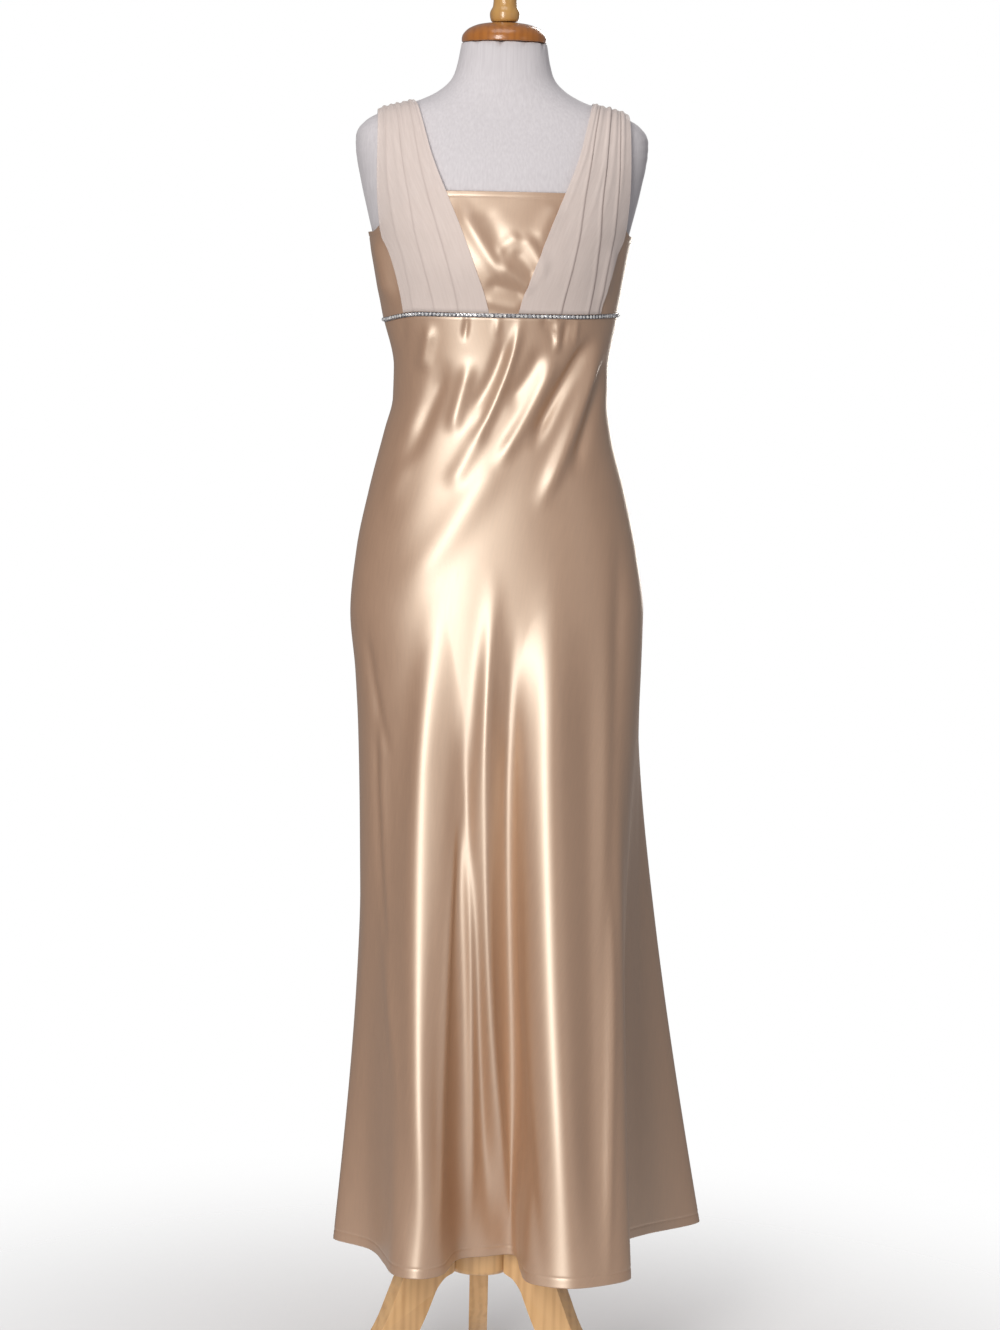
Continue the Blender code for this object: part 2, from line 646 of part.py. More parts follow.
def build():
    for old in list(bpy.data.objects):
        bpy.data.objects.remove(old, do_unlink=True)

    satin = painted("gold_satin", (0.47, 0.27, 0.14), 0.3)
    chiffon = painted("blush_chiffon", (0.68, 0.55, 0.47), 0.8)
    stones = painted("silver_stones", (0.80, 0.80, 0.82), 0.2, 1.0)
    linen = painted("white_linen", (0.70, 0.69, 0.73), 0.9)
    honey = painted("honey_wood", (0.62, 0.35, 0.12), 0.35)
    orange = painted("orange_wood", (0.50, 0.20, 0.05), 0.3)
    pale = painted("pale_wood", (0.66, 0.42, 0.16), 0.35)
    tape = painted("zip_tape", (0.42, 0.27, 0.16), 0.7)
    nickel = painted("zip_metal", (0.70, 0.66, 0.58), 0.3, 1.0)

    hem_to_seam = np.concatenate([np.linspace(0, 0.62, 9), np.linspace(0.68, 1, 8)])
    seam_to_top = np.linspace(0, 1, 7)
    panels = (
        ("front", LEFT_SEAM_ROW, RIGHT_SEAM_ROW),
        ("back_left", 0, LEFT_SEAM_ROW),
        ("back_right", RIGHT_SEAM_ROW, LAST_ROW),
    )
    for name, first, last in panels:
        columns = columns_between(first, last)
        cloth_panel(f"skirt_{name}", skirt, columns, hem_to_seam, SATIN, satin)
        cloth_panel(f"bodice_{name}", bodice, columns, seam_to_top, SATIN, satin)

    columns = columns_between(LEFT_SEAM_ROW, RIGHT_SEAM_ROW)
    heights = np.array([-TRIM_HEIGHT / 2, TRIM_HEIGHT / 2])
    raised_panel("beaded_trim", empire_band, columns, heights, STRAP_LIFT, TRIM_THICK, stones)

    steps = np.linspace(0, 1, 29)
    across = np.linspace(0, 1, 17)
    along = steps - STRAP_CROWDING * np.sin(2 * np.pi * (steps + STRAP_CROWDED_AT))
    along = (along - along[0]) / (along[-1] - along[0])
    lift = STRAP_LIFT + strap_gather(*np.meshgrid(across, along, indexing="ij"))
    for name, side in (("strap_left", -1), ("strap_right", 1)):

        def face(u, v, side=side):
            return strap(u, v, side)

        raised_panel(name, face, across, along, lift, CHIFFON, chiffon, mirrored=side < 0)

    zip_columns = np.linspace(-ZIP_WIDTH / 2, ZIP_WIDTH / 2, 3)
    zip_rows = np.linspace(ZIP_END, BACK_TOP - 0.002, 15)
    raised_panel("back_zip", back_strip, zip_columns, zip_rows, STRAP_LIFT, ZIP_THICK, tape)
    place = zip_frame()
    zip_slider(place, nickel)
    zip_pull(place, nickel)

    torso(linen)
    turned_piece("neck_cap", CAP_PROFILE, orange)
    turned_piece("finial", FINIAL_PROFILE, pale, steps=24)
    turned_piece("hub", HUB_PROFILE, honey)
    pole = ((0, FORM_BOTTOM), (POLE_RADIUS, FORM_BOTTOM), (POLE_RADIUS, HUB_TOP), (0, HUB_TOP))
    ends = (-SEAM_GAP, -SEAM_GAP, SEAM_GAP, SEAM_GAP)
    turned_piece("pole", [(r, z + gap) for (r, z), gap in zip(pole, ends)], pale, steps=20)
    for name, degrees in LEG_ANGLES.items():
        leg(name, degrees, honey)
    stand_on_floor()


build()
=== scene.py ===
# %% [markdown]
# # An evening gown on a dress form
# The gown is cut from gold satin, with two wide chiffon straps gathered on the shoulders and a band of set
# stones on the empire seam. It hangs on a white linen form with a turned wooden cap and a tripod stand.
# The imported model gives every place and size. Here each cloth panel is made again as a fine shell on the same
# surface, with the creases that the cloth has, and every piece gets its finish.

# %% Load the frame
import math

import bmesh
import bpy
import numpy as np
from mathutils import Matrix, Vector


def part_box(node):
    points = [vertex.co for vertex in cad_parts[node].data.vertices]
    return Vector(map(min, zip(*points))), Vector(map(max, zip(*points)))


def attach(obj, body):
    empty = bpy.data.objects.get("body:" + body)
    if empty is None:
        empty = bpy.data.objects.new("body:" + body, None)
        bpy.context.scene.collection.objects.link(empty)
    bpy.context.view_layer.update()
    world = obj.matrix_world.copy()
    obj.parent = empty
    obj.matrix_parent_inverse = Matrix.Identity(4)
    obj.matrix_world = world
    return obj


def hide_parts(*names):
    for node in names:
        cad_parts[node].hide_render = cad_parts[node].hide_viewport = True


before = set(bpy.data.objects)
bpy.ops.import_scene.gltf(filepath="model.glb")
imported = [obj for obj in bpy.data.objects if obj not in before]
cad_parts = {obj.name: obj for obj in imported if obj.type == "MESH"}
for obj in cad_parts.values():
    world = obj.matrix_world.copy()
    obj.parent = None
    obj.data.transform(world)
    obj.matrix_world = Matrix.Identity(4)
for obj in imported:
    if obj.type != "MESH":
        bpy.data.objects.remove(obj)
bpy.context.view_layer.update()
BODY = "gown_on_form"

# %% The pole stands on the axis of the body
pole_low, pole_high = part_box("pole")
AXIS_X = (pole_low[0] + pole_high[0]) / 2
AXIS_Y = (pole_low[1] + pole_high[1]) / 2
HEM = 0.2025
EMPIRE_SEAM = 1.369
UNDERARM = 1.4675
NECKLINE = 1.517
BACK_TOP = 1.452
ZIP_END = 1.05
SATIN_THICK = 0.0007
CHIFFON_THICK = 0.0005
TRIM_HEIGHT = 0.006
SEAM_GAP = 0.0003
STRAP_LIFT = 0.0010
FORM_POWER = 2.2
FOLD_FALL = 1.4
LEFT_SEAM_ANGLE, RIGHT_SEAM_ANGLE = -88.0, 86.0
print(f"pole axis at {AXIS_X:.4f}, {AXIS_Y:.4f}")

# %% [markdown]
# ## The shape of the gown
# A gown that hangs on a form is a tube: close to the body above, and free below the hips, where the cloth falls
# in folds. Two short tables hold it. One has the reach of the gown to its four sides at each height. The other
# has the folds: the angle on the body that each hangs from, where it reaches at the hem, and where it starts.
# Everything between the rows is worked out, so one surface serves all the panels that are cut from it.

# %% Sections of the gown, as in the solid model
# Height, reach to the left, to the right, to the front and to the back.
GOWN_SECTIONS = np.array(
    [
        (0.200, 0.1600, 0.186, 0.132, 0.145),
        (0.600, 0.1580, 0.186, 0.128, 0.140),
        (0.7025, 0.1600, 0.186, 0.125, 0.138),
        (0.8525, 0.1650, 0.187, 0.121, 0.136),
        (0.9275, 0.1700, 0.1875, 0.119, 0.135),
        (1.0025, 0.1775, 0.1875, 0.116, 0.134),
        (1.0775, 0.1710, 0.1775, 0.112, 0.124),
        (1.1525, 0.1560, 0.161, 0.107, 0.109),
        (1.2275, 0.1375, 0.141, 0.100, 0.094),
        (1.2650, 0.1285, 0.136, 0.098, 0.088),
        (1.3025, 0.1280, 0.136, 0.101, 0.086),
        (1.369, 0.1435, 0.1455, 0.1115, 0.088),
        (1.435, 0.1560, 0.156, 0.1275, 0.0915),
        (1.465, 0.1620, 0.162, 0.1255, 0.0935),
        (1.500, 0.1715, 0.1715, 0.1155, 0.0965),
        (1.544, 0.1810, 0.181, 0.1020, 0.0985),
        (1.567, 0.1850, 0.185, 0.0915, 0.0965),
        (1.588, 0.1860, 0.186, 0.0795, 0.0905),
        (1.606, 0.1715, 0.1715, 0.0685, 0.0825),
        (1.6165, 0.1515, 0.1515, 0.0625, 0.0775),
        (1.627, 0.1135, 0.1135, 0.0585, 0.0725),
        (1.637, 0.0895, 0.0895, 0.0555, 0.0685),
        (1.652, 0.0700, 0.0700, 0.0525, 0.0635),
        (1.700, 0.0570, 0.0570, 0.0515, 0.0585),
    ]
)

# %% Folds round the hem, from the centre back over the left side
# Angle on the body, reach at the hem to the right of the pole and in front of it, height where the fold starts.
HEM_FOLDS = np.array(
    [
        (-180.0, 0.0000, -0.2380, 0.92),
        (-164.0, -0.0520, -0.1900, 0.88),
        (-148.0, -0.1080, -0.2280, 0.95),
        (-132.0, -0.1270, -0.1620, 0.90),
        (-116.0, -0.1690, -0.1180, 0.90),
        (-103.0, -0.1560, -0.0560, 0.80),
        (LEFT_SEAM_ANGLE, -0.1850, -0.0030, 0.60),
        (-72.0, -0.1400, 0.0480, 0.70),
        (-58.0, -0.1240, 0.1120, 0.88),
        (-44.0, -0.1130, 0.1640, 0.95),
        (-31.0, -0.0840, 0.1830, 1.00),
        (-21.0, -0.0520, 0.1600, 0.92),
        (-12.0, -0.0310, 0.0940, 0.82),
        (-2.0, 0.0060, 0.0780, 0.82),
        (7.0, 0.0400, 0.0700, 0.86),
        (13.0, 0.0440, 0.1400, 0.95),
        (20.0, 0.0520, 0.1980, 1.00),
        (30.0, 0.0950, 0.2210, 1.02),
        (44.0, 0.1420, 0.2060, 1.02),
        (60.0, 0.1770, 0.1720, 1.02),
        (71.0, 0.1650, 0.1100, 1.02),
        (RIGHT_SEAM_ANGLE, 0.1500, 0.0450, 1.00),
        (97.0, 0.2080, -0.0260, 1.02),
        (109.0, 0.2900, -0.0960, 1.04),
        (121.0, 0.2480, -0.1460, 1.02),
        (135.0, 0.1620, -0.1640, 0.95),
        (150.0, 0.1150, -0.2320, 0.95),
        (165.0, 0.0500, -0.1930, 0.88),
    ]
)
LEFT_SEAM_ROW = int(np.flatnonzero(HEM_FOLDS[:, 0] == LEFT_SEAM_ANGLE)[0])
RIGHT_SEAM_ROW = int(np.flatnonzero(HEM_FOLDS[:, 0] == RIGHT_SEAM_ANGLE)[0])
LAST_ROW = len(HEM_FOLDS)
print(LAST_ROW, "folds and hollows round the hem")

# %% Reading a table between its rows
def smooth_column(rows, column, where):
    """One column of a table read between its rows, with no overshoot. The first column runs upwards."""
    x, y = rows[:, 0], rows[:, column]
    step, slope = np.diff(x), np.diff(y) / np.diff(x)
    tangent = np.empty_like(y)
    tangent[0], tangent[-1] = slope[0], slope[-1]
    same = slope[:-1] * slope[1:] > 0
    before, after = 2 * step[1:] + step[:-1], step[1:] + 2 * step[:-1]
    safe = np.where(same, slope[:-1], 1.0), np.where(same, slope[1:], 1.0)
    mean = (before + after) / (before / safe[0] + after / safe[1])
    tangent[1:-1] = np.where(same, mean, 0.0)
    at = np.clip(np.searchsorted(x, where) - 1, 0, len(x) - 2)
    t = np.clip((where - x[at]) / step[at], -0.2, 1.2)
    rest = 1 - t
    ends = (1 + 2 * t) * rest**2 * y[at] + t**2 * (3 - 2 * t) * y[at + 1]
    return ends + step[at] * t * rest * (rest * tangent[at] - t * tangent[at + 1])

# %% The body's plan and the folds
def plan_radius(angle, left, right, front, back):
    """How far a body section reaches at an angle, from its reach to the four sides."""
    side = np.where(np.sin(angle) < 0, left, right)
    depth = np.where(np.cos(angle) > 0, front, back)
    sideways = np.abs(np.sin(angle) / side) ** FORM_POWER
    forward = np.abs(np.cos(angle) / depth) ** FORM_POWER
    return (sideways + forward) ** (-1 / FORM_POWER)

def gown_radius(angle, z):
    return plan_radius(angle, *(smooth_column(GOWN_SECTIONS, i, z) for i in (1, 2, 3, 4)))


def gown_point(degrees, z):
    angle = np.radians(degrees)
    radius = gown_radius(angle, z)
    return np.stack([radius * np.sin(angle), -radius * np.cos(angle), z], -1)

def fold_values(row):
    """The columns of HEM_FOLDS between its rows, as a closed curve: row 0 and the last are the centre back."""
    turn = np.array([360.0, 0.0, 0.0, 0.0])
    rows = np.vstack([HEM_FOLDS[-2:] - turn, HEM_FOLDS, HEM_FOLDS[:3] + turn])
    at = np.clip(np.floor(row).astype(int), -1, LAST_ROW)
    t = (row - at)[..., None]
    a, b, c, d = (rows[at + i] for i in (1, 2, 3, 4))
    curve = 2 * b + (c - a) * t + (2 * a - 5 * b + 4 * c - d) * t**2 + (3 * b - 3 * c + d - a) * t**3
    return np.moveaxis(curve / 2, -1, 0)

# %% The heights of the seams and edges
def ease(t):
    t = np.clip(t, 0, 1)
    return t * t * (3 - 2 * t)


def empire_height(degrees):
    """The empire seam: level, but for its left end, which dips, and its right end, which rises a little."""
    turned = (degrees + 180) % 360 - 180
    dip = 0.008 * ease((-turned - 48) / 36) * ease((turned + 140) / 40)
    rise = 0.003 * ease((turned - 40) / 45) * ease((150 - turned) / 45)
    return EMPIRE_SEAM - dip + rise


def top_height(degrees):
    """The top edge of the bodice: straight in front, falling to the underarms and a little lower behind."""
    turned = np.abs((degrees + 180) % 360 - 180)
    front = NECKLINE - (NECKLINE - UNDERARM) * ease((turned - 42) / 36)
    return front - (UNDERARM - BACK_TOP) * ease((turned - 95) / 60)

# %% [markdown]
# ## Creases
# Satin shows every pull. Where the skirt is drawn over the hips it makes slanting drag lines, under the empire
# seam it puckers, and lower down it hangs in long soft flutes. Simulated cloth would put them wherever it likes.
# Here each crease is one row of a table: a soft ridge or trough along a line that may bow, with its own width and
# height, fading out at both ends. They are uneven in length, depth and spacing, as real ones are.

# %% The creases of the skirt's front and back
# Each row: side and height of the upper end, side and height of the lower end, how far the middle bows sideways,
# half width, and how far the crease stands out.
FRONT_CREASES = np.array(
    [
        # The two deep drag folds at the right of the waist, and the ridge between them.
        (0.113, 1.345, 0.038, 1.214, -0.003, 0.0080, -0.0088),
        (0.124, 1.340, 0.050, 1.140, 0.003, 0.0100, 0.0066),
        (0.128, 1.320, 0.090, 1.180, 0.002, 0.0080, -0.0054),
        # The long bowed folds that run from the middle of the seam down to the left hip.
        (0.066, 1.322, -0.003, 1.190, 0.004, 0.0090, 0.0054),
        (0.048, 1.330, 0.006, 1.262, 0.003, 0.0095, -0.0040),
        (0.021, 1.364, -0.031, 1.215, 0.007, 0.0065, 0.0050),
        (-0.020, 1.240, -0.062, 1.160, 0.002, 0.0110, 0.0034),
        (0.004, 1.345, -0.038, 1.250, 0.006, 0.0080, -0.0034),
        (-0.038, 1.312, -0.060, 1.226, 0.000, 0.0090, 0.0048),
        (-0.067, 1.310, -0.122, 1.180, 0.004, 0.0110, -0.0056),
        (-0.087, 1.356, -0.095, 1.300, 0.000, 0.0075, 0.0046),
        (-0.100, 1.255, -0.140, 1.130, 0.004, 0.0120, 0.0030),
        # Puckers gathered into the seam.
        (-0.043, 1.366, -0.047, 1.340, 0.000, 0.0040, -0.0026),
        (0.046, 1.366, 0.066, 1.338, 0.000, 0.0045, -0.0030),
        (0.066, 1.366, 0.066, 1.326, 0.000, 0.0045, 0.0028),
        (0.078, 1.366, 0.074, 1.334, 0.000, 0.0036, -0.0022),
        (0.090, 1.366, 0.088, 1.336, 0.000, 0.0040, 0.0022),
        (-0.006, 1.366, -0.008, 1.344, 0.000, 0.0050, 0.0018),
        (-0.118, 1.364, -0.122, 1.330, 0.000, 0.0060, -0.0018),
        # The flutes below the hips, from the left: a ridge, the hollow between two thin folds, and two long ridges.
        (-0.079, 1.000, -0.070, 0.205, -0.017, 0.0160, 0.0095),
        (-0.040, 0.800, -0.057, 0.205, -0.006, 0.0060, 0.0032),
        (-0.040, 0.800, -0.016, 0.240, 0.006, 0.0060, 0.0040),
        (-0.038, 0.860, -0.040, 0.205, 0.000, 0.0120, -0.0080),
        (-0.012, 0.900, 0.010, 0.205, -0.010, 0.0090, -0.0050),
        (-0.005, 1.030, 0.040, 0.205, -0.025, 0.0115, 0.0120),
        (0.020, 0.980, 0.066, 0.205, -0.020, 0.0105, -0.0080),
        (0.070, 1.060, 0.100, 0.205, -0.014, 0.0240, 0.0100),
        (0.118, 1.000, 0.132, 0.205, 0.000, 0.0200, -0.0060),
        (0.148, 0.700, 0.146, 0.205, 0.002, 0.0060, 0.0030),
        (0.150, 1.120, 0.146, 0.520, 0.004, 0.0100, -0.0040),
        # The slanting ridge where the cloth turns over the left hip.
        (0.010, 1.215, -0.118, 1.030, 0.004, 0.0200, 0.0034),
        # The thin creases beside the left edge.
        (-0.158, 0.980, -0.128, 0.830, -0.003, 0.0050, -0.0034),
        (-0.146, 0.900, -0.122, 0.560, -0.004, 0.0050, -0.0034),
        (-0.138, 0.880, -0.112, 0.420, -0.004, 0.0060, 0.0030),
    ]
)
BACK_CREASES = np.array(
    [
        (-0.085, 1.360, -0.020, 1.225, 0.004, 0.0090, -0.0044),
        (-0.062, 1.350, -0.004, 1.250, 0.004, 0.0080, 0.0036),
        (0.095, 1.345, 0.030, 1.190, -0.004, 0.0100, 0.0040),
        (0.070, 1.350, 0.018, 1.262, -0.003, 0.0080, -0.0036),
        (0.115, 1.290, 0.072, 1.150, -0.003, 0.0110, -0.0034),
        (-0.110, 1.270, -0.074, 1.130, 0.003, 0.0110, 0.0030),
        (0.040, 1.366, 0.042, 1.338, 0.000, 0.0040, 0.0022),
        (-0.036, 1.366, -0.038, 1.332, 0.000, 0.0045, -0.0022),
        (-0.112, 0.940, -0.108, 0.205, 0.004, 0.0120, 0.0040),
        (-0.062, 0.860, -0.070, 0.205, 0.003, 0.0110, -0.0040),
        (0.030, 0.930, 0.034, 0.205, -0.004, 0.0110, 0.0040),
        (0.082, 0.820, 0.096, 0.205, 0.002, 0.0120, -0.0036),
        (0.140, 1.000, 0.190, 0.260, 0.006, 0.0140, 0.0036),
    ]
)
# The bodice's front between the straps: a slanting fold, an arch and the hollows round them.
BODICE_CREASES = np.array(
    [
        (-0.060, 1.508, 0.010, 1.402, -0.004, 0.0095, 0.0034),
        (-0.030, 1.496, 0.004, 1.436, 0.003, 0.0120, -0.0022),
        (-0.010, 1.440, 0.018, 1.464, 0.004, 0.0080, 0.0022),
        (0.018, 1.466, 0.048, 1.416, 0.005, 0.0080, 0.0026),
        (0.008, 1.446, 0.036, 1.412, 0.003, 0.0085, -0.0026),
        (0.064, 1.500, 0.040, 1.456, -0.003, 0.0110, 0.0024),
        (-0.022, 1.406, 0.026, 1.392, 0.003, 0.0070, -0.0022),
        (-0.026, 1.388, 0.024, 1.378, -0.002, 0.0065, 0.0016),
        (-0.006, 1.434, 0.036, 1.399, -0.002, 0.0065, 0.0026),
        (-0.136, 1.458, -0.125, 1.385, 0.000, 0.0070, -0.0040),
        (-0.154, 1.462, -0.139, 1.385, 0.000, 0.0065, 0.0050),
        (0.132, 1.455, 0.120, 1.385, 0.002, 0.0080, 0.0024),
        (0.143, 1.450, 0.137, 1.390, 0.000, 0.0065, -0.0018),
    ]
)
NO_CREASES = np.zeros((0, 7))
END_FADE = 0.30


def crease_lift(side, z, creases):
    """The sum of all creases. One is a bell of the distance from its bowed line, times an eased fade at each end."""
    lift = np.zeros_like(z)
    for x0, z0, x1, z1, bow, half_width, height in creases:
        along = np.array([x1 - x0, z1 - z0])
        length = np.hypot(*along)
        share = ((side - x0) * along[0] + (z - z0) * along[1]) / length**2
        line = np.clip(share, 0, 1)
        off = ((z - z0) * along[0] - (side - x0) * along[1]) / length - 4 * bow * line * (1 - line)
        fade = ease(np.clip(share / END_FADE + 0.2, 0, 1)) * ease(np.clip((1 - share) / END_FADE + 0.2, 0, 1))
        lift += height * np.exp(-((off / half_width) ** 2)) * fade
    return lift


print(len(FRONT_CREASES), "creases in front,", len(BACK_CREASES), "behind,", len(BODICE_CREASES), "on the bodice")

# %% Small uneven waves that keep a satin panel from looking pressed
def slow_waves(side, z, size, seed):
    """A sum of a few long sine waves in fixed directions, from -size to size."""
    draw = np.random.default_rng(seed)
    lift = np.zeros_like(z)
    for _ in range(6):
        turn, start = draw.uniform(-0.5, 0.5), draw.uniform(0, 6.28)
        length = draw.uniform(0.05, 0.16)
        lift += np.sin((side * np.cos(turn) + z * np.sin(turn) * 0.5) * 2 * np.pi / length + start)
    return size * lift / 6


# %% The skirt and the bodice as surfaces
def skirt(row, share):
    """The skirt's outer face. The body section and the hem's curve are mixed by how far a point has fallen."""
    degrees, hem_x, hem_forward, start = fold_values(row)
    z = HEM + (empire_height(degrees) - HEM) * share
    fall = (np.clip(start - z, 0, None) / (start - HEM)) ** FOLD_FALL
    hanging = np.stack([hem_x, -hem_forward, z], -1)
    return gown_point(degrees, z) * (1 - fall)[..., None] + hanging * fall[..., None]


def bodice(row, share):
    """The bodice's outer face: share runs from 0 at the empire seam to 1 at the top edge."""
    degrees = fold_values(row)[0]
    bottom, top = empire_height(degrees), top_height(degrees)
    return gown_point(degrees, bottom + (top - bottom) * share)


# %% Normals, and creased versions of a surface
def normals_of(surface, u, v, step=1e-3):
    """The cross product of the two directions of a surface, made one long."""
    along = surface(u + step, v) - surface(u - step, v)
    up = surface(u, v + step) - surface(u, v - step)
    normal = np.cross(along, up)
    return normal / np.linalg.norm(normal, axis=-1, keepdims=True)


STITCH_DEPTH = 0.0005
STITCH_WIDTH = 0.0012
HEM_TURNING = 0.012
NECK_TURNING = 0.006


def hem_stitching(row, z):
    """A shallow groove where the turned hem is sewn, a bell of the height above the hem."""
    return -STITCH_DEPTH * np.exp(-(((z - HEM - HEM_TURNING) / STITCH_WIDTH) ** 2))


def neck_stitching(row, z):
    """The same groove below the top edge."""
    down = top_height(fold_values(row)[0]) - z
    return -STITCH_DEPTH * np.exp(-(((down - NECK_TURNING) / STITCH_WIDTH) ** 2))


def creased(surface, front_creases, back_creases, wave, seed, stitching):
    """A surface moved along its normals by the creases of its side of the body, slow waves and its stitching."""

    def moved(u, v):
        points = surface(u, v)
        x, y, z = np.moveaxis(points, -1, 0)
        front = ease(np.clip(0.5 - y / 0.04, 0, 1))
        lift = crease_lift(x, z, front_creases) * front + crease_lift(x, z, back_creases) * (1 - front)
        lift += slow_waves(x - y, z, wave, seed) + stitching(u, z)
        return points + normals_of(surface, u, v) * lift[..., None]

    return moved


# %% [markdown]
# ## From a surface to a cloth shell
# A panel is a grid of points on its surface and a second grid a thread's thickness inside it, joined round the
# edge. The grid's own lengths along the cloth become its UV map, so a weave follows the cloth round every fold.

# %% Making one cloth shell
def add_mesh(name, points, faces, body=BODY):
    """A mesh object at the origin from arrays of points and faces, moved from the pole's axis to its place."""
    mesh = bpy.data.meshes.new(name)
    mesh.from_pydata((points + np.array([AXIS_X, AXIS_Y, 0])).tolist(), [], faces)
    mesh.shade_smooth()
    piece = bpy.data.objects.new(name, mesh)
    bpy.context.scene.collection.objects.link(piece)
    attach(piece, body)
    return piece


def grid_lengths(points):
    """Running length along both directions of a grid, in metres, from its first row and column."""
    across = np.linalg.norm(np.diff(points, axis=0), axis=-1)
    up = np.linalg.norm(np.diff(points, axis=1), axis=-1)
    zero_u, zero_v = np.zeros((1, points.shape[1])), np.zeros((points.shape[0], 1))
    return np.vstack([zero_u, np.cumsum(across, axis=0)]), np.hstack([zero_v, np.cumsum(up, axis=1)])


def grid_area(points):
    first = points[1:, :-1] - points[:-1, :-1]
    second = points[:-1, 1:] - points[:-1, :-1]
    return np.linalg.norm(np.cross(first, second), axis=-1).sum()


def cloth_shell(name, surface, u, v, thickness, lift=0.0, inside_out=False, fold_shade_and_double_layer=None):
    """Two grids a thickness apart, joined by a rim, with a UV map in metres. Returns the piece and its cut.

    The last argument gives how far the cloth at a place is folded over itself, from 0 to 1, for its material to read:
    denser cloth there, and painted shade along the fold.
    """
    u, v = np.meshgrid(u, v, indexing="ij")
    outward = normals_of(surface, u, v) * (-1 if inside_out else 1)
    outer = surface(u, v) + outward * (lift + thickness)
    inner = outer - outward * thickness
    columns, rows = u.shape
    index = np.arange(columns * rows).reshape(columns, rows)
    quads = np.stack([index[:-1, :-1], index[1:, :-1], index[1:, 1:], index[:-1, 1:]], -1).reshape(-1, 4)
    rim = np.concatenate([index[:, 0], index[-1, 1:], index[-2::-1, -1], index[0, -2:0:-1]])
    under = rim + columns * rows
    edge = np.stack([rim, under, np.roll(under, -1), np.roll(rim, -1)], -1)
    faces = np.concatenate([quads, quads[:, ::-1] + columns * rows, edge])
    faces = faces[:, ::-1] if inside_out else faces
    points = np.concatenate([outer.reshape(-1, 3), inner.reshape(-1, 3)])
    piece = add_mesh(name, points, faces.tolist())
    along, up = grid_lengths(outer)
    flat = np.stack([along.ravel(), up.ravel()], -1)
    uv = piece.data.uv_layers.new(name="cloth_metres")
    uv.data.foreach_set("uv", np.concatenate([flat, flat])[faces.ravel()].astype(np.float32).ravel())
    if fold_shade_and_double_layer:
        # Painted shade: this attribute darkens the chiffon's colour along each fold line, and also makes it less clear
        # where it lies double.
        mark = piece.data.attributes.new("fold_shade_and_double_layer", "FLOAT", "POINT")
        mark.data.foreach_set("value", np.tile(fold_shade_and_double_layer(u, v).ravel(), 2).astype(np.float32))
    cut = (float(along.max()), float(up.max()), float(grid_area(outer)))
    print(f"{name}: {len(faces)} faces, cut {cut[0]:.2f} x {cut[1]:.2f} m, {cut[2]:.3f} m2")
    return piece, cut


# %% [markdown]
# ## Shader groups
# A weave and a wood grain are used by several materials, so each is a node group with its own sockets.

# %% A helper that builds a group, and the weave
def new_group(name, inputs, outputs):
    group = bpy.data.node_groups.new(name, "ShaderNodeTree")
    for label, kind, value in inputs:
        socket = group.interface.new_socket(label, in_out="INPUT", socket_type=kind)
        if value is not None:
            socket.default_value = value
    for label, kind in outputs:
        group.interface.new_socket(label, in_out="OUTPUT", socket_type=kind)
    return group, group.nodes.new("NodeGroupInput"), group.nodes.new("NodeGroupOutput")


def math_node(tree, operation, first, second=None):
    node = tree.nodes.new("ShaderNodeMath")
    node.operation = operation
    for slot, value in enumerate((first, second)):
        if value is None:
            continue
        if isinstance(value, (int, float)):
            node.inputs[slot].default_value = value
        else:
            tree.links.new(value, node.inputs[slot])
    return node.outputs[0]


def weave_group():
    """Two sets of threads as sine waves across each other, with slubs from a stretched noise."""
    group, given, out = new_group(
        "plain_weave",
        [("Vector", "NodeSocketVector", None), ("Threads per metre", "NodeSocketFloat", 1500.0)],
        [("Height", "NodeSocketFloat"), ("Slubs", "NodeSocketFloat")],
    )
    split = group.nodes.new("ShaderNodeSeparateXYZ")
    group.links.new(given.outputs["Vector"], split.inputs[0])
    waves = []
    for axis in ("X", "Y"):
        turns = math_node(group, "MULTIPLY", split.outputs[axis], given.outputs["Threads per metre"])
        radians = math_node(group, "MULTIPLY", turns, 2 * math.pi)
        waves.append(math_node(group, "SINE", radians))
    product = math_node(group, "MULTIPLY", *waves)
    group.links.new(math_node(group, "MULTIPLY_ADD", product, 0.5), out.inputs["Height"])
    stretch = group.nodes.new("ShaderNodeMapping")
    stretch.inputs["Scale"].default_value = (420, 30, 1)
    group.links.new(given.outputs["Vector"], stretch.inputs["Vector"])
    noise = group.nodes.new("ShaderNodeTexNoise")
    noise.inputs["Scale"].default_value = 1.0
    noise.inputs["Detail"].default_value = 3.0
    group.links.new(stretch.outputs[0], noise.inputs["Vector"])
    group.links.new(noise.outputs["Fac"], out.inputs["Slubs"])
    return group


WEAVE = weave_group()


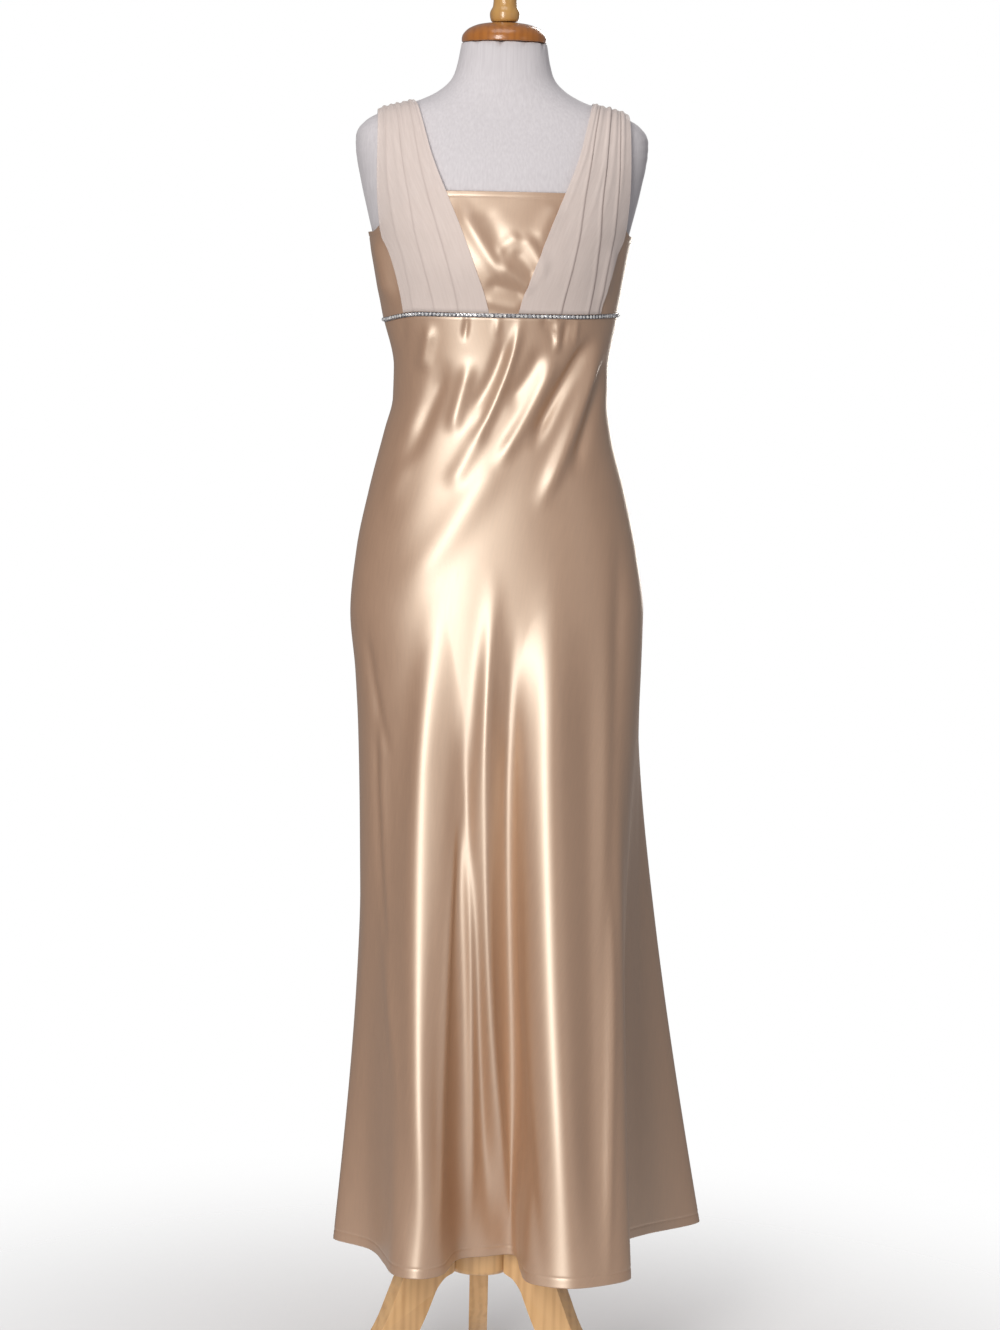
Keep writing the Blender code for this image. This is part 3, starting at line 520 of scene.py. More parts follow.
# %% The wood grain
def grain_group():
    """Long fibres from a noise stretched along the piece, and growth bands from a distorted wave."""
    group, given, out = new_group(
        "wood_grain",
        [("Vector", "NodeSocketVector", None), ("Fibres", "NodeSocketFloat", 60.0), ("Bands", "NodeSocketFloat", 9.0)],
        [("Band", "NodeSocketFloat"), ("Fibre", "NodeSocketFloat")],
    )
    stretch = group.nodes.new("ShaderNodeMapping")
    stretch.inputs["Scale"].default_value = (1.0, 1.0, 0.08)
    group.links.new(given.outputs["Vector"], stretch.inputs["Vector"])
    fibre = group.nodes.new("ShaderNodeTexNoise")
    fibre.inputs["Detail"].default_value = 5.0
    group.links.new(stretch.outputs[0], fibre.inputs["Vector"])
    scale = math_node(group, "MULTIPLY", given.outputs["Fibres"], 8.0)
    group.links.new(scale, fibre.inputs["Scale"])
    band = group.nodes.new("ShaderNodeTexWave")
    band.inputs["Distortion"].default_value = 6.0
    band.inputs["Detail"].default_value = 2.0
    group.links.new(stretch.outputs[0], band.inputs["Vector"])
    group.links.new(given.outputs["Bands"], band.inputs["Scale"])
    group.links.new(fibre.outputs["Fac"], out.inputs["Fibre"])
    group.links.new(band.outputs["Fac"], out.inputs["Band"])
    return group


GRAIN = grain_group()


# %% [markdown]
# ## Materials
# Satin is long floats of bright thread: its colour is in its reflection, so the shader is part metal, with a soft,
# broad highlight. Chiffon is thin and matt and lets the satin under it show. The form is linen pulled tight,
# with its heavier upright threads, and the stand is varnished wood.

# %% Small helpers for materials
def new_material(name, colour, roughness, metallic=0.0):
    material = bpy.data.materials.new(name)
    material.use_nodes = True
    shader = material.node_tree.nodes["Principled BSDF"]
    shader.inputs["Base Color"].default_value = (*colour, 1)
    shader.inputs["Roughness"].default_value = roughness
    shader.inputs["Metallic"].default_value = metallic
    return material, material.node_tree, shader


def coordinates(tree, kind="Object"):
    if kind == "UV":
        node = tree.nodes.new("ShaderNodeUVMap")
        node.uv_map = "cloth_metres"
        return node.outputs["UV"]
    return tree.nodes.new("ShaderNodeTexCoord").outputs[kind]


def ramp(tree, factor, *stops):
    node = tree.nodes.new("ShaderNodeValToRGB")
    elements = node.color_ramp.elements
    for at, (place, colour) in enumerate(stops):
        stop = elements[at] if at < 2 else elements.new(place)
        stop.position = place
        stop.color = (*colour, 1)
    tree.links.new(factor, node.inputs["Fac"])
    return node.outputs["Color"]


def bump(tree, shader, height, strength, distance):
    node = tree.nodes.new("ShaderNodeBump")
    node.inputs["Strength"].default_value = strength
    node.inputs["Distance"].default_value = distance
    tree.links.new(height, node.inputs["Height"])
    tree.links.new(node.outputs["Normal"], shader.inputs["Normal"])


def place_group(tree, group, vector, **values):
    node = tree.nodes.new("ShaderNodeGroup")
    node.node_tree = group
    tree.links.new(vector, node.inputs["Vector"])
    for label, value in values.items():
        node.inputs[label.replace("_", " ")].default_value = value
    return node.outputs


# %% Satin
def satin_material():
    """A brown body under a strong, broad and pale reflection, with slubs in its tone and gloss."""
    material, tree, shader = new_material("gold_satin", (0.375, 0.185, 0.094), 0.5, 0.08)
    weave = place_group(tree, WEAVE, coordinates(tree, "UV"), Threads_per_metre=1400.0)
    colour = ramp(tree, weave["Slubs"], (0.3, (0.355, 0.173, 0.087)), (0.7, (0.395, 0.198, 0.102)))
    tree.links.new(colour, shader.inputs["Base Color"])
    rough = tree.nodes.new("ShaderNodeMapRange")
    rough.inputs["To Min"].default_value = 0.47
    rough.inputs["To Max"].default_value = 0.53
    tree.links.new(weave["Slubs"], rough.inputs["Value"])
    tree.links.new(rough.outputs["Result"], shader.inputs["Roughness"])
    shader.inputs["IOR"].default_value = 2.5
    shader.inputs["Specular IOR Level"].default_value = 1.0
    shader.inputs["Specular Tint"].default_value = (1.0, 0.93, 0.80, 1)
    shader.inputs["Coat Weight"].default_value = 0.35
    shader.inputs["Coat Roughness"].default_value = 0.28
    bump(tree, shader, weave["Height"], 0.05, 0.0002)
    return material


SATIN = satin_material()


# %% Chiffon
def chiffon_material():
    """Thin and matt, and less clear along a fold, where the cloth lies double, and darkened there by painted shade."""
    material, tree, shader = new_material("blush_chiffon", (0.76, 0.655, 0.61), 0.85)
    weave = place_group(tree, WEAVE, coordinates(tree, "UV"), Threads_per_metre=1100.0)
    colour = ramp(tree, weave["Slubs"], (0.3, (0.74, 0.635, 0.590)), (0.7, (0.79, 0.685, 0.640)))
    # Painted shade: along each fold line the colour is multiplied by a dark brown-grey that stands in for the shadow
    # in the fold; the higher alpha there is the cloth lying double.
    fold = tree.nodes.new("ShaderNodeAttribute")
    fold.attribute_name = "fold_shade_and_double_layer"
    mix = tree.nodes.new("ShaderNodeMix")
    mix.data_type = "RGBA"
    mix.blend_type = "MULTIPLY"
    mix.inputs["B"].default_value = (0.42, 0.36, 0.35, 1)
    tree.links.new(fold.outputs["Fac"], mix.inputs["Factor"])
    tree.links.new(colour, mix.inputs["A"])
    tree.links.new(mix.outputs["Result"], shader.inputs["Base Color"])
    tree.links.new(math_node(tree, "ADD", math_node(tree, "MULTIPLY", fold.outputs["Fac"], 0.28), 0.68), shader.inputs["Alpha"])
    shader.inputs["Sheen Weight"].default_value = 0.3
    shader.inputs["Sheen Roughness"].default_value = 0.5
    bump(tree, shader, weave["Height"], 0.15, 0.0002)
    return material


CHIFFON = chiffon_material()


# %% Linen
def linen_material():
    """Upright threads, now and then a heavier one, on a pale cool white."""
    material, tree, shader = new_material("white_linen", (0.58, 0.56, 0.585), 0.9)
    stretch = tree.nodes.new("ShaderNodeMapping")
    stretch.inputs["Scale"].default_value = (420, 420, 9)
    tree.links.new(coordinates(tree), stretch.inputs["Vector"])
    threads = tree.nodes.new("ShaderNodeTexNoise")
    threads.inputs["Scale"].default_value = 1.0
    threads.inputs["Detail"].default_value = 4.0
    tree.links.new(stretch.outputs[0], threads.inputs["Vector"])
    colour = ramp(tree, threads.outputs["Fac"], (0.30, (0.545, 0.515, 0.535)), (0.70, (0.615, 0.585, 0.605)))
    tree.links.new(colour, shader.inputs["Base Color"])
    shader.inputs["Sheen Weight"].default_value = 0.2
    bump(tree, shader, threads.outputs["Fac"], 0.12, 0.0002)
    return material


LINEN = linen_material()


# %% Varnished wood
def wood_material(name, dark, light, fibres, bands):
    material, tree, shader = new_material(name, light, 0.35)
    grain = place_group(tree, GRAIN, coordinates(tree), Fibres=fibres, Bands=bands)
    mix = math_node(tree, "MULTIPLY_ADD", grain["Fibre"], 0.6)
    mixed = math_node(tree, "ADD", math_node(tree, "MULTIPLY", grain["Band"], 0.20), mix)
    tree.links.new(ramp(tree, mixed, (0.45, dark), (0.95, light)), shader.inputs["Base Color"])
    shader.inputs["Coat Weight"].default_value = 0.6
    shader.inputs["Coat Roughness"].default_value = 0.12
    bump(tree, shader, grain["Fibre"], 0.12, 0.0004)
    return material


HONEY_WOOD = wood_material("honey_wood", (0.44, 0.220, 0.085), (0.70, 0.43, 0.20), 14.0, 30.0)
ORANGE_WOOD = wood_material("orange_wood", (0.22, 0.065, 0.009), (0.38, 0.130, 0.018), 20.0, 40.0)
PALE_WOOD = wood_material("pale_wood", (0.34, 0.165, 0.042), (0.50, 0.275, 0.082), 18.0, 36.0)

# %% [markdown]
# ## The gown
# The skirt's front and two backs share one surface and meet at the side seams and the centre back. A half gap is
# left on each side of a seam, as in the solid model. The bodice is cut from the same body sections above the seam.

# %% Skirt and bodice
def seam_steps(first, last, count):
    """Evenly spaced columns between two rows of the folds' table, stopping just short of both seams."""
    return np.linspace(first + 0.004, last - 0.004, count)


# The rows of a panel lie closer together where an edge is turned and sewn.
HEM_TO_SEAM = np.concatenate([np.linspace(0.0, 0.014, 15), np.linspace(0.018, 0.9998, 198)])
SEAM_TO_TOP = np.concatenate([np.linspace(0.0015, 0.93, 50), np.linspace(0.936, 1.0, 12)])
PANELS = (
    ("front", LEFT_SEAM_ROW, RIGHT_SEAM_ROW, 215),
    ("back_left", 0, LEFT_SEAM_ROW, 110),
    ("back_right", RIGHT_SEAM_ROW, LAST_ROW, 120),
)
creased_skirt = creased(skirt, FRONT_CREASES, BACK_CREASES, 0.0010, 3, hem_stitching)
creased_bodice = creased(bodice, BODICE_CREASES, NO_CREASES, 0.0005, 5, neck_stitching)
cuts = {}
for part, first, last, count in PANELS:
    columns = seam_steps(first, last, count)
    for kind, surface, rows in (("skirt", creased_skirt, HEM_TO_SEAM), ("bodice", creased_bodice, SEAM_TO_TOP)):
        name = f"{kind}_{part}"
        piece, cut = cloth_shell(f"{name}_satin", surface, columns, rows, SATIN_THICK, lift=-SATIN_THICK)
        piece.data.materials.append(SATIN)
        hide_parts(name)
        cuts[name] = cut

# %% [markdown]
# ## The straps
# Each strap is a piece of chiffon as wide as a hand at the seam and gathered to a few centimetres on the shoulder.
# A table gives its two edges by the angle at which they lie round the shoulder, and the cloth follows the gown's
# face between them.

# %% The straps' table and route
STRAP_PIVOT = 1.45
STRAP_BACK_OVERLAP = 0.012
# Angle up from the pivot, reach of the inner edge and of the outer edge, depth of the gathers.
STRAP_EDGES = np.array(
    [
        (-46.0, 0.0128, 0.1200, 0.0000),
        (-34.0, 0.0180, 0.1250, 0.0000),
        (-7.0, 0.0390, 0.1370, 0.0001),
        (12.0, 0.0540, 0.1465, 0.0002),
        (32.0, 0.0710, 0.1505, 0.0005),
        (58.0, 0.0930, 0.1535, 0.0009),
        (90.0, 0.1100, 0.1530, 0.0019),
        (125.0, 0.1080, 0.1510, 0.0012),
        (150.0, 0.1000, 0.1450, 0.0006),
        (182.0, 0.0840, 0.1360, 0.0000),
    ]
)


def surface_along(x, elevation):
    """Where the line that rises at an angle from the strap's pivot, at a given x, leaves the gown's face."""
    near, far = np.zeros_like(x), np.full_like(x, 0.3)
    for _ in range(40):
        reach = (near + far) / 2
        y, z = -reach * np.cos(elevation), STRAP_PIVOT + reach * np.sin(elevation)
        inside = np.hypot(x, y) < gown_radius(np.arctan2(x, -y), z)
        near, far = np.where(inside, reach, near), np.where(inside, far, reach)
    return np.stack([x, y, z], -1)

def strap_x(across, elevation):
    degrees = np.degrees(elevation)
    inner, outer = (smooth_column(STRAP_EDGES, i, degrees) for i in (1, 2))
    return inner + (outer - inner) * across


def gown_depth(x, z, column):
    """How far in front of the pole, or behind it, the gown's face lies at a given x."""
    side = smooth_column(GOWN_SECTIONS, np.where(np.mean(x) < 0, 1, 2), z)
    share = np.clip(1 - np.abs(x / side) ** FORM_POWER, 0.01, None)
    return smooth_column(GOWN_SECTIONS, column, z) * share ** (1 / FORM_POWER)


def strap_front_end(across, side):
    """The angle at the pivot where a strap meets the trim on the empire seam."""
    elevation = np.radians(STRAP_EDGES[0, 0]) + 0 * across
    depth = np.full_like(across, 0.11)
    for _ in range(8):
        x = side * strap_x(across, elevation)
        bottom = empire_height(np.degrees(np.arctan2(x, depth))) + TRIM_HEIGHT / 2 + SEAM_GAP
        depth = gown_depth(x, bottom, 3)
        elevation = np.arctan2(bottom - STRAP_PIVOT, depth)
    return elevation


def strap_back_end(across, side):
    """The angle at the pivot where a strap ends, a little below the top edge of the back."""
    end = BACK_TOP - STRAP_BACK_OVERLAP
    elevation = np.radians(STRAP_EDGES[-1, 0]) + 0 * across
    for _ in range(8):
        depth = gown_depth(side * strap_x(across, elevation), end, 4)
        elevation = np.pi - np.arctan2(end - STRAP_PIVOT, depth)
    return elevation

# %% The gathers and long folds of the straps
# Place across the strap (0 is the inner edge), half width of each as a share of the strap, and height.
GATHERS = np.array([(0.10, 0.030, 0.9), (0.27, 0.045, 0.8), (0.46, 0.035, 1.1), (0.63, 0.045, 0.9), (0.82, 0.04, 1.0)])
# Long folds where the cloth lies double: place across at the shoulder and at the seam, and how marked it is, in its
# step and in the painted shade along it.
LONG_FOLDS = {
    -1: np.array([(0.22, 0.34, 0.35), (0.52, 0.62, 0.30), (0.80, 0.86, 0.20)]),
    1: np.array([(0.20, 0.50, 0.8), (0.47, 0.82, 1.0), (0.74, 0.95, 0.8)]),
}
FOLD_RISE = 0.06
FOLD_DROP = 0.013
FOLD_HEIGHT = 0.0007
SHOULDER = 0.5
FOLDS_END = 0.8


def fold_distance(across, along, at_shoulder, at_seam):
    """How far across the strap a place lies from a long fold, which runs a little unevenly."""
    line = at_seam + (at_shoulder - at_seam) * ease(along / SHOULDER)
    return across - line - 0.010 * np.sin(along * 15 + at_seam * 9)


def long_folds(across, along, side):
    """The step at each long fold: a slow rise, then a quick drop, all fading out behind the shoulder."""
    step = np.zeros_like(across)
    for at_shoulder, at_seam, strength in LONG_FOLDS[side]:
        off = fold_distance(across, along, at_shoulder, at_seam)
        step += strength * ease((off + FOLD_RISE) / FOLD_RISE) * ease((FOLD_DROP - off) / FOLD_DROP)
    return step * ease((FOLDS_END - along) / 0.2)


def strap_fold_shade_and_double_layer(side):
    """Where the cloth of a strap lies double, a thin line along each of its long folds, which the chiffon reads for
    denser cloth and painted shade.
    """

    def mark(across, along):
        lines = [
            strength * np.exp(-(((fold_distance(across, along, at_shoulder, at_seam) - FOLD_DROP / 2) / FOLD_DROP) ** 2))
            for at_shoulder, at_seam, strength in LONG_FOLDS[side]
        ]
        return np.max(lines, axis=0) * ease((FOLDS_END - along) / 0.2)

    return mark


def strap(across, along, side):
    """A strap's lower face: from the empire seam over the shoulder to the back, between its two edges."""
    start, end = strap_front_end(across, side), strap_back_end(across, side)
    elevation = start + (end - start) * along
    return surface_along(side * strap_x(across, elevation), elevation)


def gathered_strap(side):
    """A strap lifted by its shoulder gathers, by its long folds and by any ridge of the satin under it."""

    def surface(across, along):
        points = strap(across, along, side)
        outward = normals_of(lambda u, v: strap(u, v, side), across, along) * side
        degrees = STRAP_EDGES[0, 0] + (STRAP_EDGES[-1, 0] - STRAP_EDGES[0, 0]) * along
        depth = smooth_column(STRAP_EDGES, 3, degrees)
        gathers = np.zeros_like(across)
        for place, half_width, height in GATHERS:
            gathers += height * np.exp(-(((across - place) / half_width) ** 2))
        lift = depth * gathers + FOLD_HEIGHT * long_folds(across, along, side)
        x, y, z = np.moveaxis(points, -1, 0)
        under = crease_lift(x, z, BODICE_CREASES) * (y < 0) * ease((NECKLINE - z) / 0.01)
        lift += np.maximum(under, 0)
        return points + outward * lift[..., None]

    return surface


# %% Both straps
for name, side in (("strap_left", -1), ("strap_right", 1)):
    piece, cut = cloth_shell(
        f"{name}_chiffon",
        gathered_strap(side),
        np.linspace(0, 1, 270),
        np.linspace(0, 1, 105),
        CHIFFON_THICK,
        lift=STRAP_LIFT,
        inside_out=side < 0,
        fold_shade_and_double_layer=strap_fold_shade_and_double_layer(side),
    )
    piece.data.materials.append(CHIFFON)
    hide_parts(name)
    cuts[name] = cut

# %% [markdown]
# ## The stones on the seam
# The trim is a cup chain: round cut stones in small silver cups, one beside the next. One cup and one stone are
# worked out once, and placed along the seam as one joined mesh each.

# %% Frames along the seam
STONE_SPACING = 0.0050
STONE_RADIUS = 0.0021


def seam_frames():
    """Places along the empire seam a stone's spacing apart, each with its outward, along and up directions."""
    rows = np.linspace(LEFT_SEAM_ROW + 0.02, RIGHT_SEAM_ROW - 0.02, 3000)
    degrees = fold_values(rows)[0]
    line = gown_point(degrees, empire_height(degrees))
    length = np.concatenate([[0], np.cumsum(np.linalg.norm(np.diff(line, axis=0), axis=-1))])
    count = int(length[-1] / STONE_SPACING)
    at = (np.arange(count) + 0.5) * length[-1] / count
    place = np.stack([np.interp(at, length, line[:, i]) for i in range(3)], -1)
    along = np.stack([np.interp(at + 0.002, length, line[:, i]) for i in range(3)], -1) - place
    along /= np.linalg.norm(along, axis=-1, keepdims=True)
    up = np.array([0.0, 0.0, 1.0]) - along * along[:, 2:]
    up /= np.linalg.norm(up, axis=-1, keepdims=True)
    return place, along, up, np.cross(along, up)


PLACES, ALONG, UP, OUT = seam_frames()
print(len(PLACES), "stones, every", STONE_SPACING * 1000, "mm")


# %% Rings placed along the seam
def ring_stack(rings, sides):
    """A closed turned shape, (radius, height out) for each ring: local points and faces with both ends filled."""
    angle = np.arange(sides) * 2 * np.pi / sides
    points = np.concatenate([np.stack([r * np.cos(angle), r * np.sin(angle), h + 0 * angle], -1) for r, h in rings])
    index = np.arange(len(rings) * sides).reshape(len(rings), sides)
    after = np.roll(index, -1, axis=1)
    quads = np.stack([index[:-1], after[:-1], after[1:], index[1:]], -1).reshape(-1, 4)
    return points, quads, index[0][::-1], index[-1]


def stones_along(name, rings, sides, size, material):
    points, quads, bottom, top = ring_stack(rings, sides)
    local = points[None] * size[:, None, None]
    spots = PLACES[:, None] + ALONG[:, None] * local[..., :1] + UP[:, None] * local[..., 1:2]
    spots = spots + OUT[:, None] * local[..., 2:]
    count, each = spots.shape[:2]
    faces = []
    for group in (quads, bottom[None], top[None]):
        faces.extend((group[None] + np.arange(count)[:, None, None] * each).reshape(-1, group.shape[1]).tolist())
    piece = add_mesh(name, spots.reshape(-1, 3), faces)
    piece.data.materials.append(material)
    piece.data.set_sharp_from_angle(angle=math.radians(12))
    print(f"{name}: {len(faces)} faces")
    return piece


# %% Silver cups, cut stones and the band under them
def metal_material(name, dark, light, low, high, scale):
    """A plain metal whose tone and gloss drift with a noise, as handling leaves them."""
    material, tree, shader = new_material(name, light, high, 1.0)
    noise = tree.nodes.new("ShaderNodeTexNoise")
    noise.inputs["Scale"].default_value = scale
    noise.inputs["Detail"].default_value = 3.0
    tree.links.new(coordinates(tree), noise.inputs["Vector"])
    tree.links.new(ramp(tree, noise.outputs["Fac"], (0.38, dark), (0.62, light)), shader.inputs["Base Color"])
    rough = tree.nodes.new("ShaderNodeMapRange")
    rough.inputs["To Min"].default_value = low
    rough.inputs["To Max"].default_value = high
    tree.links.new(noise.outputs["Fac"], rough.inputs["Value"])
    tree.links.new(rough.outputs["Result"], shader.inputs["Roughness"])
    return material


def stone_material():
    """Clear cut stones with a foiled back: half glass, and cooler or warmer from stone to stone."""
    material, tree, shader = new_material("cut_stones", (0.95, 0.96, 0.98), 0.04)
    noise = tree.nodes.new("ShaderNodeTexNoise")
    noise.inputs["Scale"].default_value = 260.0
    tree.links.new(coordinates(tree), noise.inputs["Vector"])
    colour = ramp(tree, noise.outputs["Fac"], (0.40, (0.42, 0.43, 0.47)), (0.58, (0.98, 0.97, 0.95)))
    tree.links.new(colour, shader.inputs["Base Color"])
    shader.inputs["Transmission Weight"].default_value = 0.35
    shader.inputs["IOR"].default_value = 1.8
    return material


SILVER = metal_material("silver_cups", (0.22, 0.22, 0.24), (0.62, 0.62, 0.64), 0.16, 0.34, 300.0)
STONE = stone_material()
sizes = np.random.default_rng(11).uniform(0.92, 1.05, len(PLACES))
CUP_RINGS = ((0.0016, 0.0008), (0.0023, 0.0008), (0.0024, 0.0021), (0.0021, 0.0023), (0.0018, 0.0017))
STONE_RINGS = ((0.0013, 0.0014), (0.0021, 0.0022), (0.0017, 0.0029), (0.0010, 0.0032))
cups = stones_along("trim_cups", CUP_RINGS, 12, sizes, SILVER)
stones = stones_along("trim_stones", STONE_RINGS, 8, sizes, STONE)
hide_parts("beaded_trim")


def trim_band(row, across):
    degrees = fold_values(row)[0]
    return gown_point(degrees, empire_height(degrees) + across)


band, band_cut = cloth_shell(
    "trim_net",
    trim_band,
    np.linspace(LEFT_SEAM_ROW, RIGHT_SEAM_ROW, 180),
    np.linspace(-0.0026, 0.0026, 4),
    0.0005,
    lift=0.0003,
)
band.data.materials.append(SILVER)

# %% [markdown]
# ## The form and the stand
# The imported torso, cap, finial, hub and legs already have their shapes, so they only get their finishes.

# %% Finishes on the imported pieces
def finish_node(node, material):
    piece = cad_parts[node]
    piece.data.materials.clear()
    piece.data.materials.append(material)


def tape_material():
    """Woven zip tape, matt, a shade darker than the satin."""
    material, tree, shader = new_material("zip_tape", (0.34, 0.20, 0.12), 0.75)
    weave = place_group(tree, WEAVE, coordinates(tree), Threads_per_metre=900.0)
    colour = ramp(tree, weave["Slubs"], (0.3, (0.36, 0.205, 0.115)), (0.7, (0.43, 0.255, 0.150)))
    tree.links.new(colour, shader.inputs["Base Color"])
    bump(tree, shader, weave["Height"], 0.4, 0.0003)
    return material


TAPE = tape_material()
NICKEL = metal_material("zip_metal", (0.50, 0.44, 0.34), (0.74, 0.67, 0.54), 0.20, 0.34, 120.0)
for node, material in (
    ("pole", PALE_WOOD),
    ("back_zip", TAPE),
    ("zip_slider", NICKEL),
    ("zip_pull", NICKEL),
):
    finish_node(node, material)

# %% [markdown]
# The torso and the turned and sawn woods are coarser than the cloth, and light shows their facets. A copy of each
# with its doubles merged is finished by modifiers: Subdivision Surface rounds the torso, the cap and the finial, and
# Bevel softens the sawn edges of the hub and the legs, as sandpaper does.

# %% Smooth covers for the torso and the woods
def smooth_cover(node, name, material):
    """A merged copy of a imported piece's mesh that stands for it."""
    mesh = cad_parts[node].data.copy()
    mesh.name = name
    merged = bmesh.new()
    merged.from_mesh(mesh)
    bmesh.ops.remove_doubles(merged, verts=merged.verts, dist=0.00002)
    merged.to_mesh(mesh)
    merged.free()
    mesh.materials.clear()
    mesh.materials.append(material)
    cover = bpy.data.objects.new(name, mesh)
    bpy.context.scene.collection.objects.link(cover)
    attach(cover, BODY)
    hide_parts(node)
    print(f"{name}: {len(mesh.vertices)} points before its edges are softened")
    return cover


def rounded(cover, levels):
    cover.data.shade_smooth()
    rounding = cover.modifiers.new("rounding", "SUBSURF")
    rounding.levels = rounding.render_levels = levels


SANDED = 0.0016
SANDED_STEPS = 3
SHARP = math.radians(35)


def sanded(cover):
    cover.data.shade_smooth()
    cover.data.set_sharp_from_angle(angle=SHARP)
    bevel = cover.modifiers.new("sanding", "BEVEL")
    bevel.width = SANDED
    bevel.segments = SANDED_STEPS
    bevel.limit_method = "ANGLE"
    bevel.angle_limit = SHARP
    bevel.harden_normals = True


rounded(smooth_cover("form_torso", "torso_cover", LINEN), 2)
rounded(smooth_cover("neck_cap", "turned_cap", ORANGE_WOOD), 2)
rounded(smooth_cover("finial", "turned_finial", PALE_WOOD), 2)
for node in ("hub", "leg_front_left", "leg_front_right", "leg_back"):
    sanded(smooth_cover(node, f"sanded_{node}", HONEY_WOOD))

# %% [markdown]
# ## The zip's teeth
# A coil zip is one nylon thread wound into teeth down the middle of its tape. Each tooth here is a short bar across
# the tape, and all of them are one joined mesh.

# %% Teeth down the tape, from the slider to its end
ZIP_THICK = 0.0010
TOOTH_SPACING = 0.0022
TOOTH_SIZE = np.array([0.0042, 0.0009, 0.0013])
CUBE = np.array([(x, y, z) for x in (-0.5, 0.5) for y in (-0.5, 0.5) for z in (-0.5, 0.5)])
CUBE_FACES = np.array([(0, 1, 3, 2), (4, 6, 7, 5), (0, 4, 5, 1), (2, 3, 7, 6), (0, 2, 6, 4), (1, 5, 7, 3)])


def zip_teeth():
    """Bars across the centre back, a tooth's spacing apart, on the outer face of the tape."""
    low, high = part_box("back_zip")[0][2] + 0.004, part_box("zip_slider")[0][2] - 0.001
    heights = np.arange(low, high, TOOTH_SPACING)
    depth = smooth_column(GOWN_SECTIONS, 4, heights) + STRAP_LIFT + ZIP_THICK + TOOTH_SIZE[1] / 4
    centres = np.stack([0 * heights, depth, heights], -1)
    points = centres[:, None] + (CUBE * TOOTH_SIZE)[None]
    faces = CUBE_FACES[None] + 8 * np.arange(len(heights))[:, None, None]
    return add_mesh("zip_teeth", points.reshape(-1, 3), faces.reshape(-1, 4).tolist())


teeth = zip_teeth()
teeth.data.shade_flat()
teeth.data.materials.append(TAPE)
print(len(teeth.data.polygons), "faces of zip teeth")

# %% [markdown]
# ## Floor, light and camera
# A plain pale floor, one large soft light from the left of the front, a weak fill, and a pale world.

# %% Floor
FLOOR_SIZE = 12.0
FLOOR_CLEAR_FROM = 0.2
FLOOR_CLEAR_TO = 1.3


def floor_material():
    """A matt pale floor that thins away into the white of the studio, so that no horizon shows."""
    material, tree, shader = new_material("pale_floor", (0.93, 0.93, 0.94), 0.9)
    distance = tree.nodes.new("ShaderNodeVectorMath")
    distance.operation = "LENGTH"
    tree.links.new(coordinates(tree), distance.inputs[0])
    fade = tree.nodes.new("ShaderNodeMapRange")
    fade.interpolation_type = "SMOOTHSTEP"
    fade.inputs["From Min"].default_value = FLOOR_CLEAR_FROM
    fade.inputs["From Max"].default_value = FLOOR_CLEAR_TO
    fade.inputs["To Min"].default_value = 1.0
    fade.inputs["To Max"].default_value = 0.0
    tree.links.new(distance.outputs["Value"], fade.inputs["Value"])
    tree.links.new(fade.outputs["Result"], shader.inputs["Alpha"])
    return material


floor_mesh = bpy.data.meshes.new("floor")
half = FLOOR_SIZE / 2
floor_mesh.from_pydata([(-half, -half, 0), (half, -half, 0), (half, half, 0), (-half, half, 0)], [], [(0, 1, 2, 3)])
floor = bpy.data.objects.new("floor", floor_mesh)
bpy.context.scene.collection.objects.link(floor)
floor_mesh.materials.append(floor_material())


# %% World
def studio_world(seen, lighting):
    """White where it is looked at directly, and dimmer as a light, so that the satin keeps its contrast."""
    world = bpy.data.worlds.new("studio")
    world.use_nodes = True
    tree = world.node_tree
    lit = tree.nodes["Background"]
    lit.inputs["Color"].default_value = (0.97, 0.96, 1.0, 1)
    lit.inputs["Strength"].default_value = lighting
    looked_at = tree.nodes.new("ShaderNodeBackground")
    looked_at.inputs["Color"].default_value = (1, 1, 1, 1)
    looked_at.inputs["Strength"].default_value = seen
    path = tree.nodes.new("ShaderNodeLightPath")
    mix = tree.nodes.new("ShaderNodeMixShader")
    tree.links.new(path.outputs["Is Camera Ray"], mix.inputs["Fac"])
    tree.links.new(lit.outputs[0], mix.inputs[1])
    tree.links.new(looked_at.outputs[0], mix.inputs[2])
    tree.links.new(mix.outputs[0], tree.nodes["World Output"].inputs["Surface"])
    return world


bpy.context.scene.world = studio_world(1.0, 0.27)
bpy.context.scene.view_settings.view_transform = "Standard"


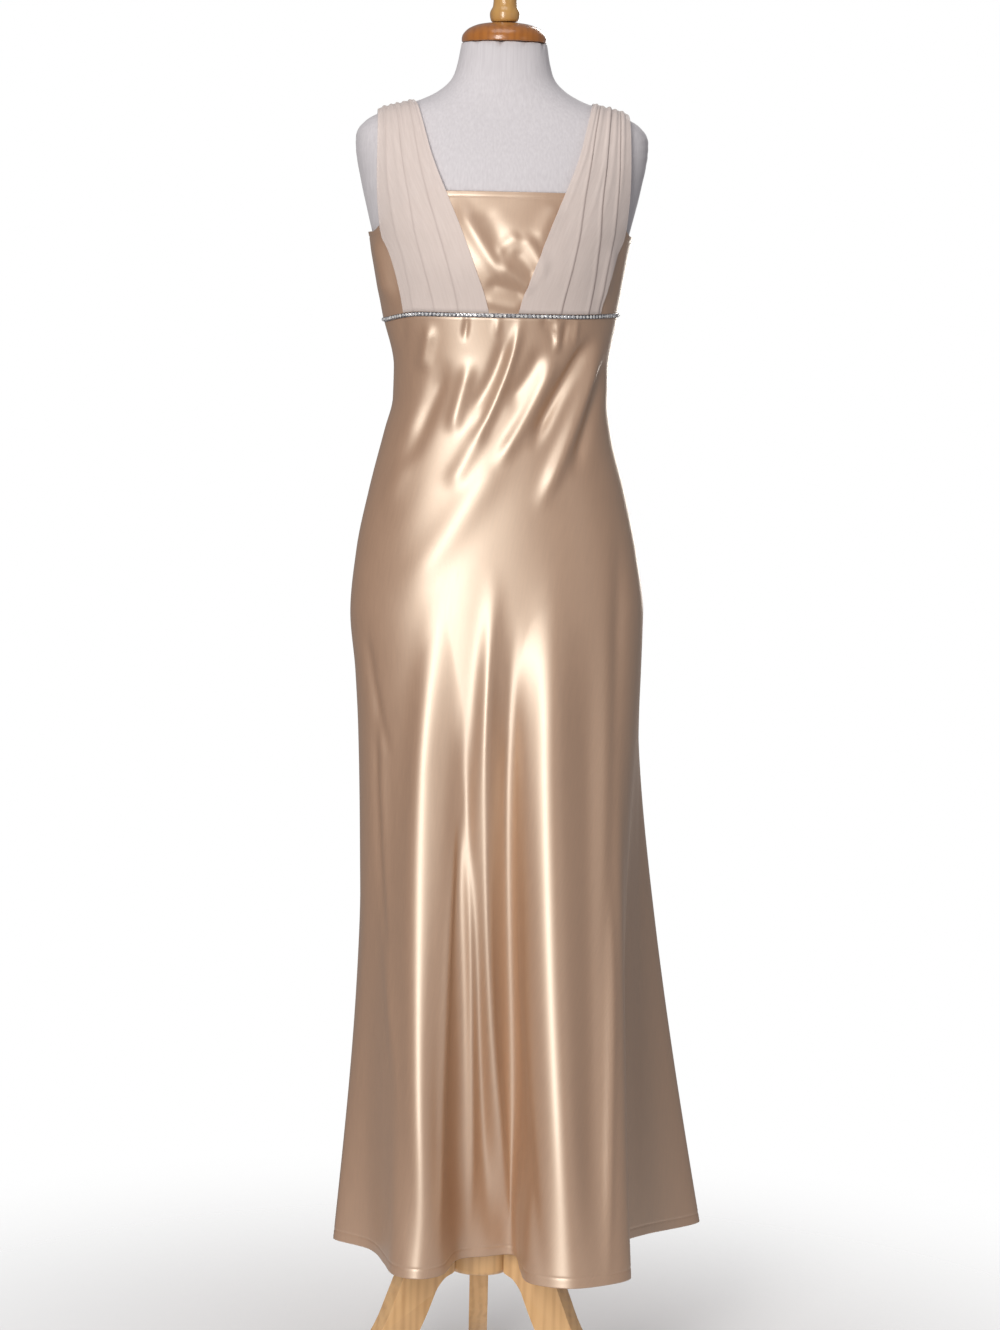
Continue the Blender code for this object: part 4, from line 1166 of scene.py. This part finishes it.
# %% Lights
def soft_light(name, place, aim, width, height, watts, colour):
    light = bpy.data.lights.new(name, "AREA")
    light.shape = "RECTANGLE"
    light.size, light.size_y = width, height
    light.energy = watts
    light.color = colour
    lamp = bpy.data.objects.new(name, light)
    lamp.location = place
    lamp.visible_camera = False
    lamp.rotation_euler = (Vector(aim) - Vector(place)).to_track_quat("-Z", "Y").to_euler()
    bpy.context.scene.collection.objects.link(lamp)


soft_light("key", (-1.20, -3.55, 1.60), (0, 0, 0.95), 1.0, 2.9, 122, (1.0, 0.98, 0.94))
soft_light("right", (3.0, -2.6, 1.3), (0, 0, 0.8), 1.0, 2.6, 5, (1.0, 0.95, 0.89))
soft_light("top", (-0.2, -0.8, 4.0), (0, 0, 1.2), 1.6, 1.6, 20, (1.0, 1.0, 1.0))
soft_light("back", (1.2, 3.2, 2.0), (0, 0, 0.9), 0.8, 2.6, 55, (1.0, 0.97, 0.92))

# %% Camera
EYE_HEIGHT = 1.39
DISTANCE = 4.4
AZIMUTH = math.radians(-3.0)
PITCH = math.radians(5.9)
SIDEWAYS = math.radians(0.138)
ROLL = math.radians(1.2)
FOCAL = 3550 / 1330 * 36


def camera_turn():
    """Forward from azimuth and pitch, then right and up, rolled so that the upright stand leans a little right."""
    heading = AZIMUTH + SIDEWAYS
    forward = Vector((math.sin(-heading) * -1, math.cos(heading), 0))
    forward = Vector((math.sin(-AZIMUTH) + SIDEWAYS, math.cos(AZIMUTH), 0)).normalized()
    right = forward.cross(Vector((0, 0, 1)))
    forward = forward * math.cos(PITCH) - Vector((0, 0, 1)) * math.sin(PITCH)
    up = right.cross(forward)
    across = right * math.cos(ROLL) + up * math.sin(ROLL)
    upward = up * math.cos(ROLL) - right * math.sin(ROLL)
    return Matrix((across, upward, -forward)).transposed().to_4x4()


camera = bpy.data.objects.new("camera", bpy.data.cameras.new("camera"))
camera.data.lens = FOCAL
camera.data.clip_end = 100
place = Vector((AXIS_X + DISTANCE * math.sin(AZIMUTH), AXIS_Y - DISTANCE * math.cos(AZIMUTH), EYE_HEIGHT))
camera.matrix_world = Matrix.Translation(place) @ camera_turn()
bpy.context.scene.collection.objects.link(camera)
bpy.context.scene.camera = camera
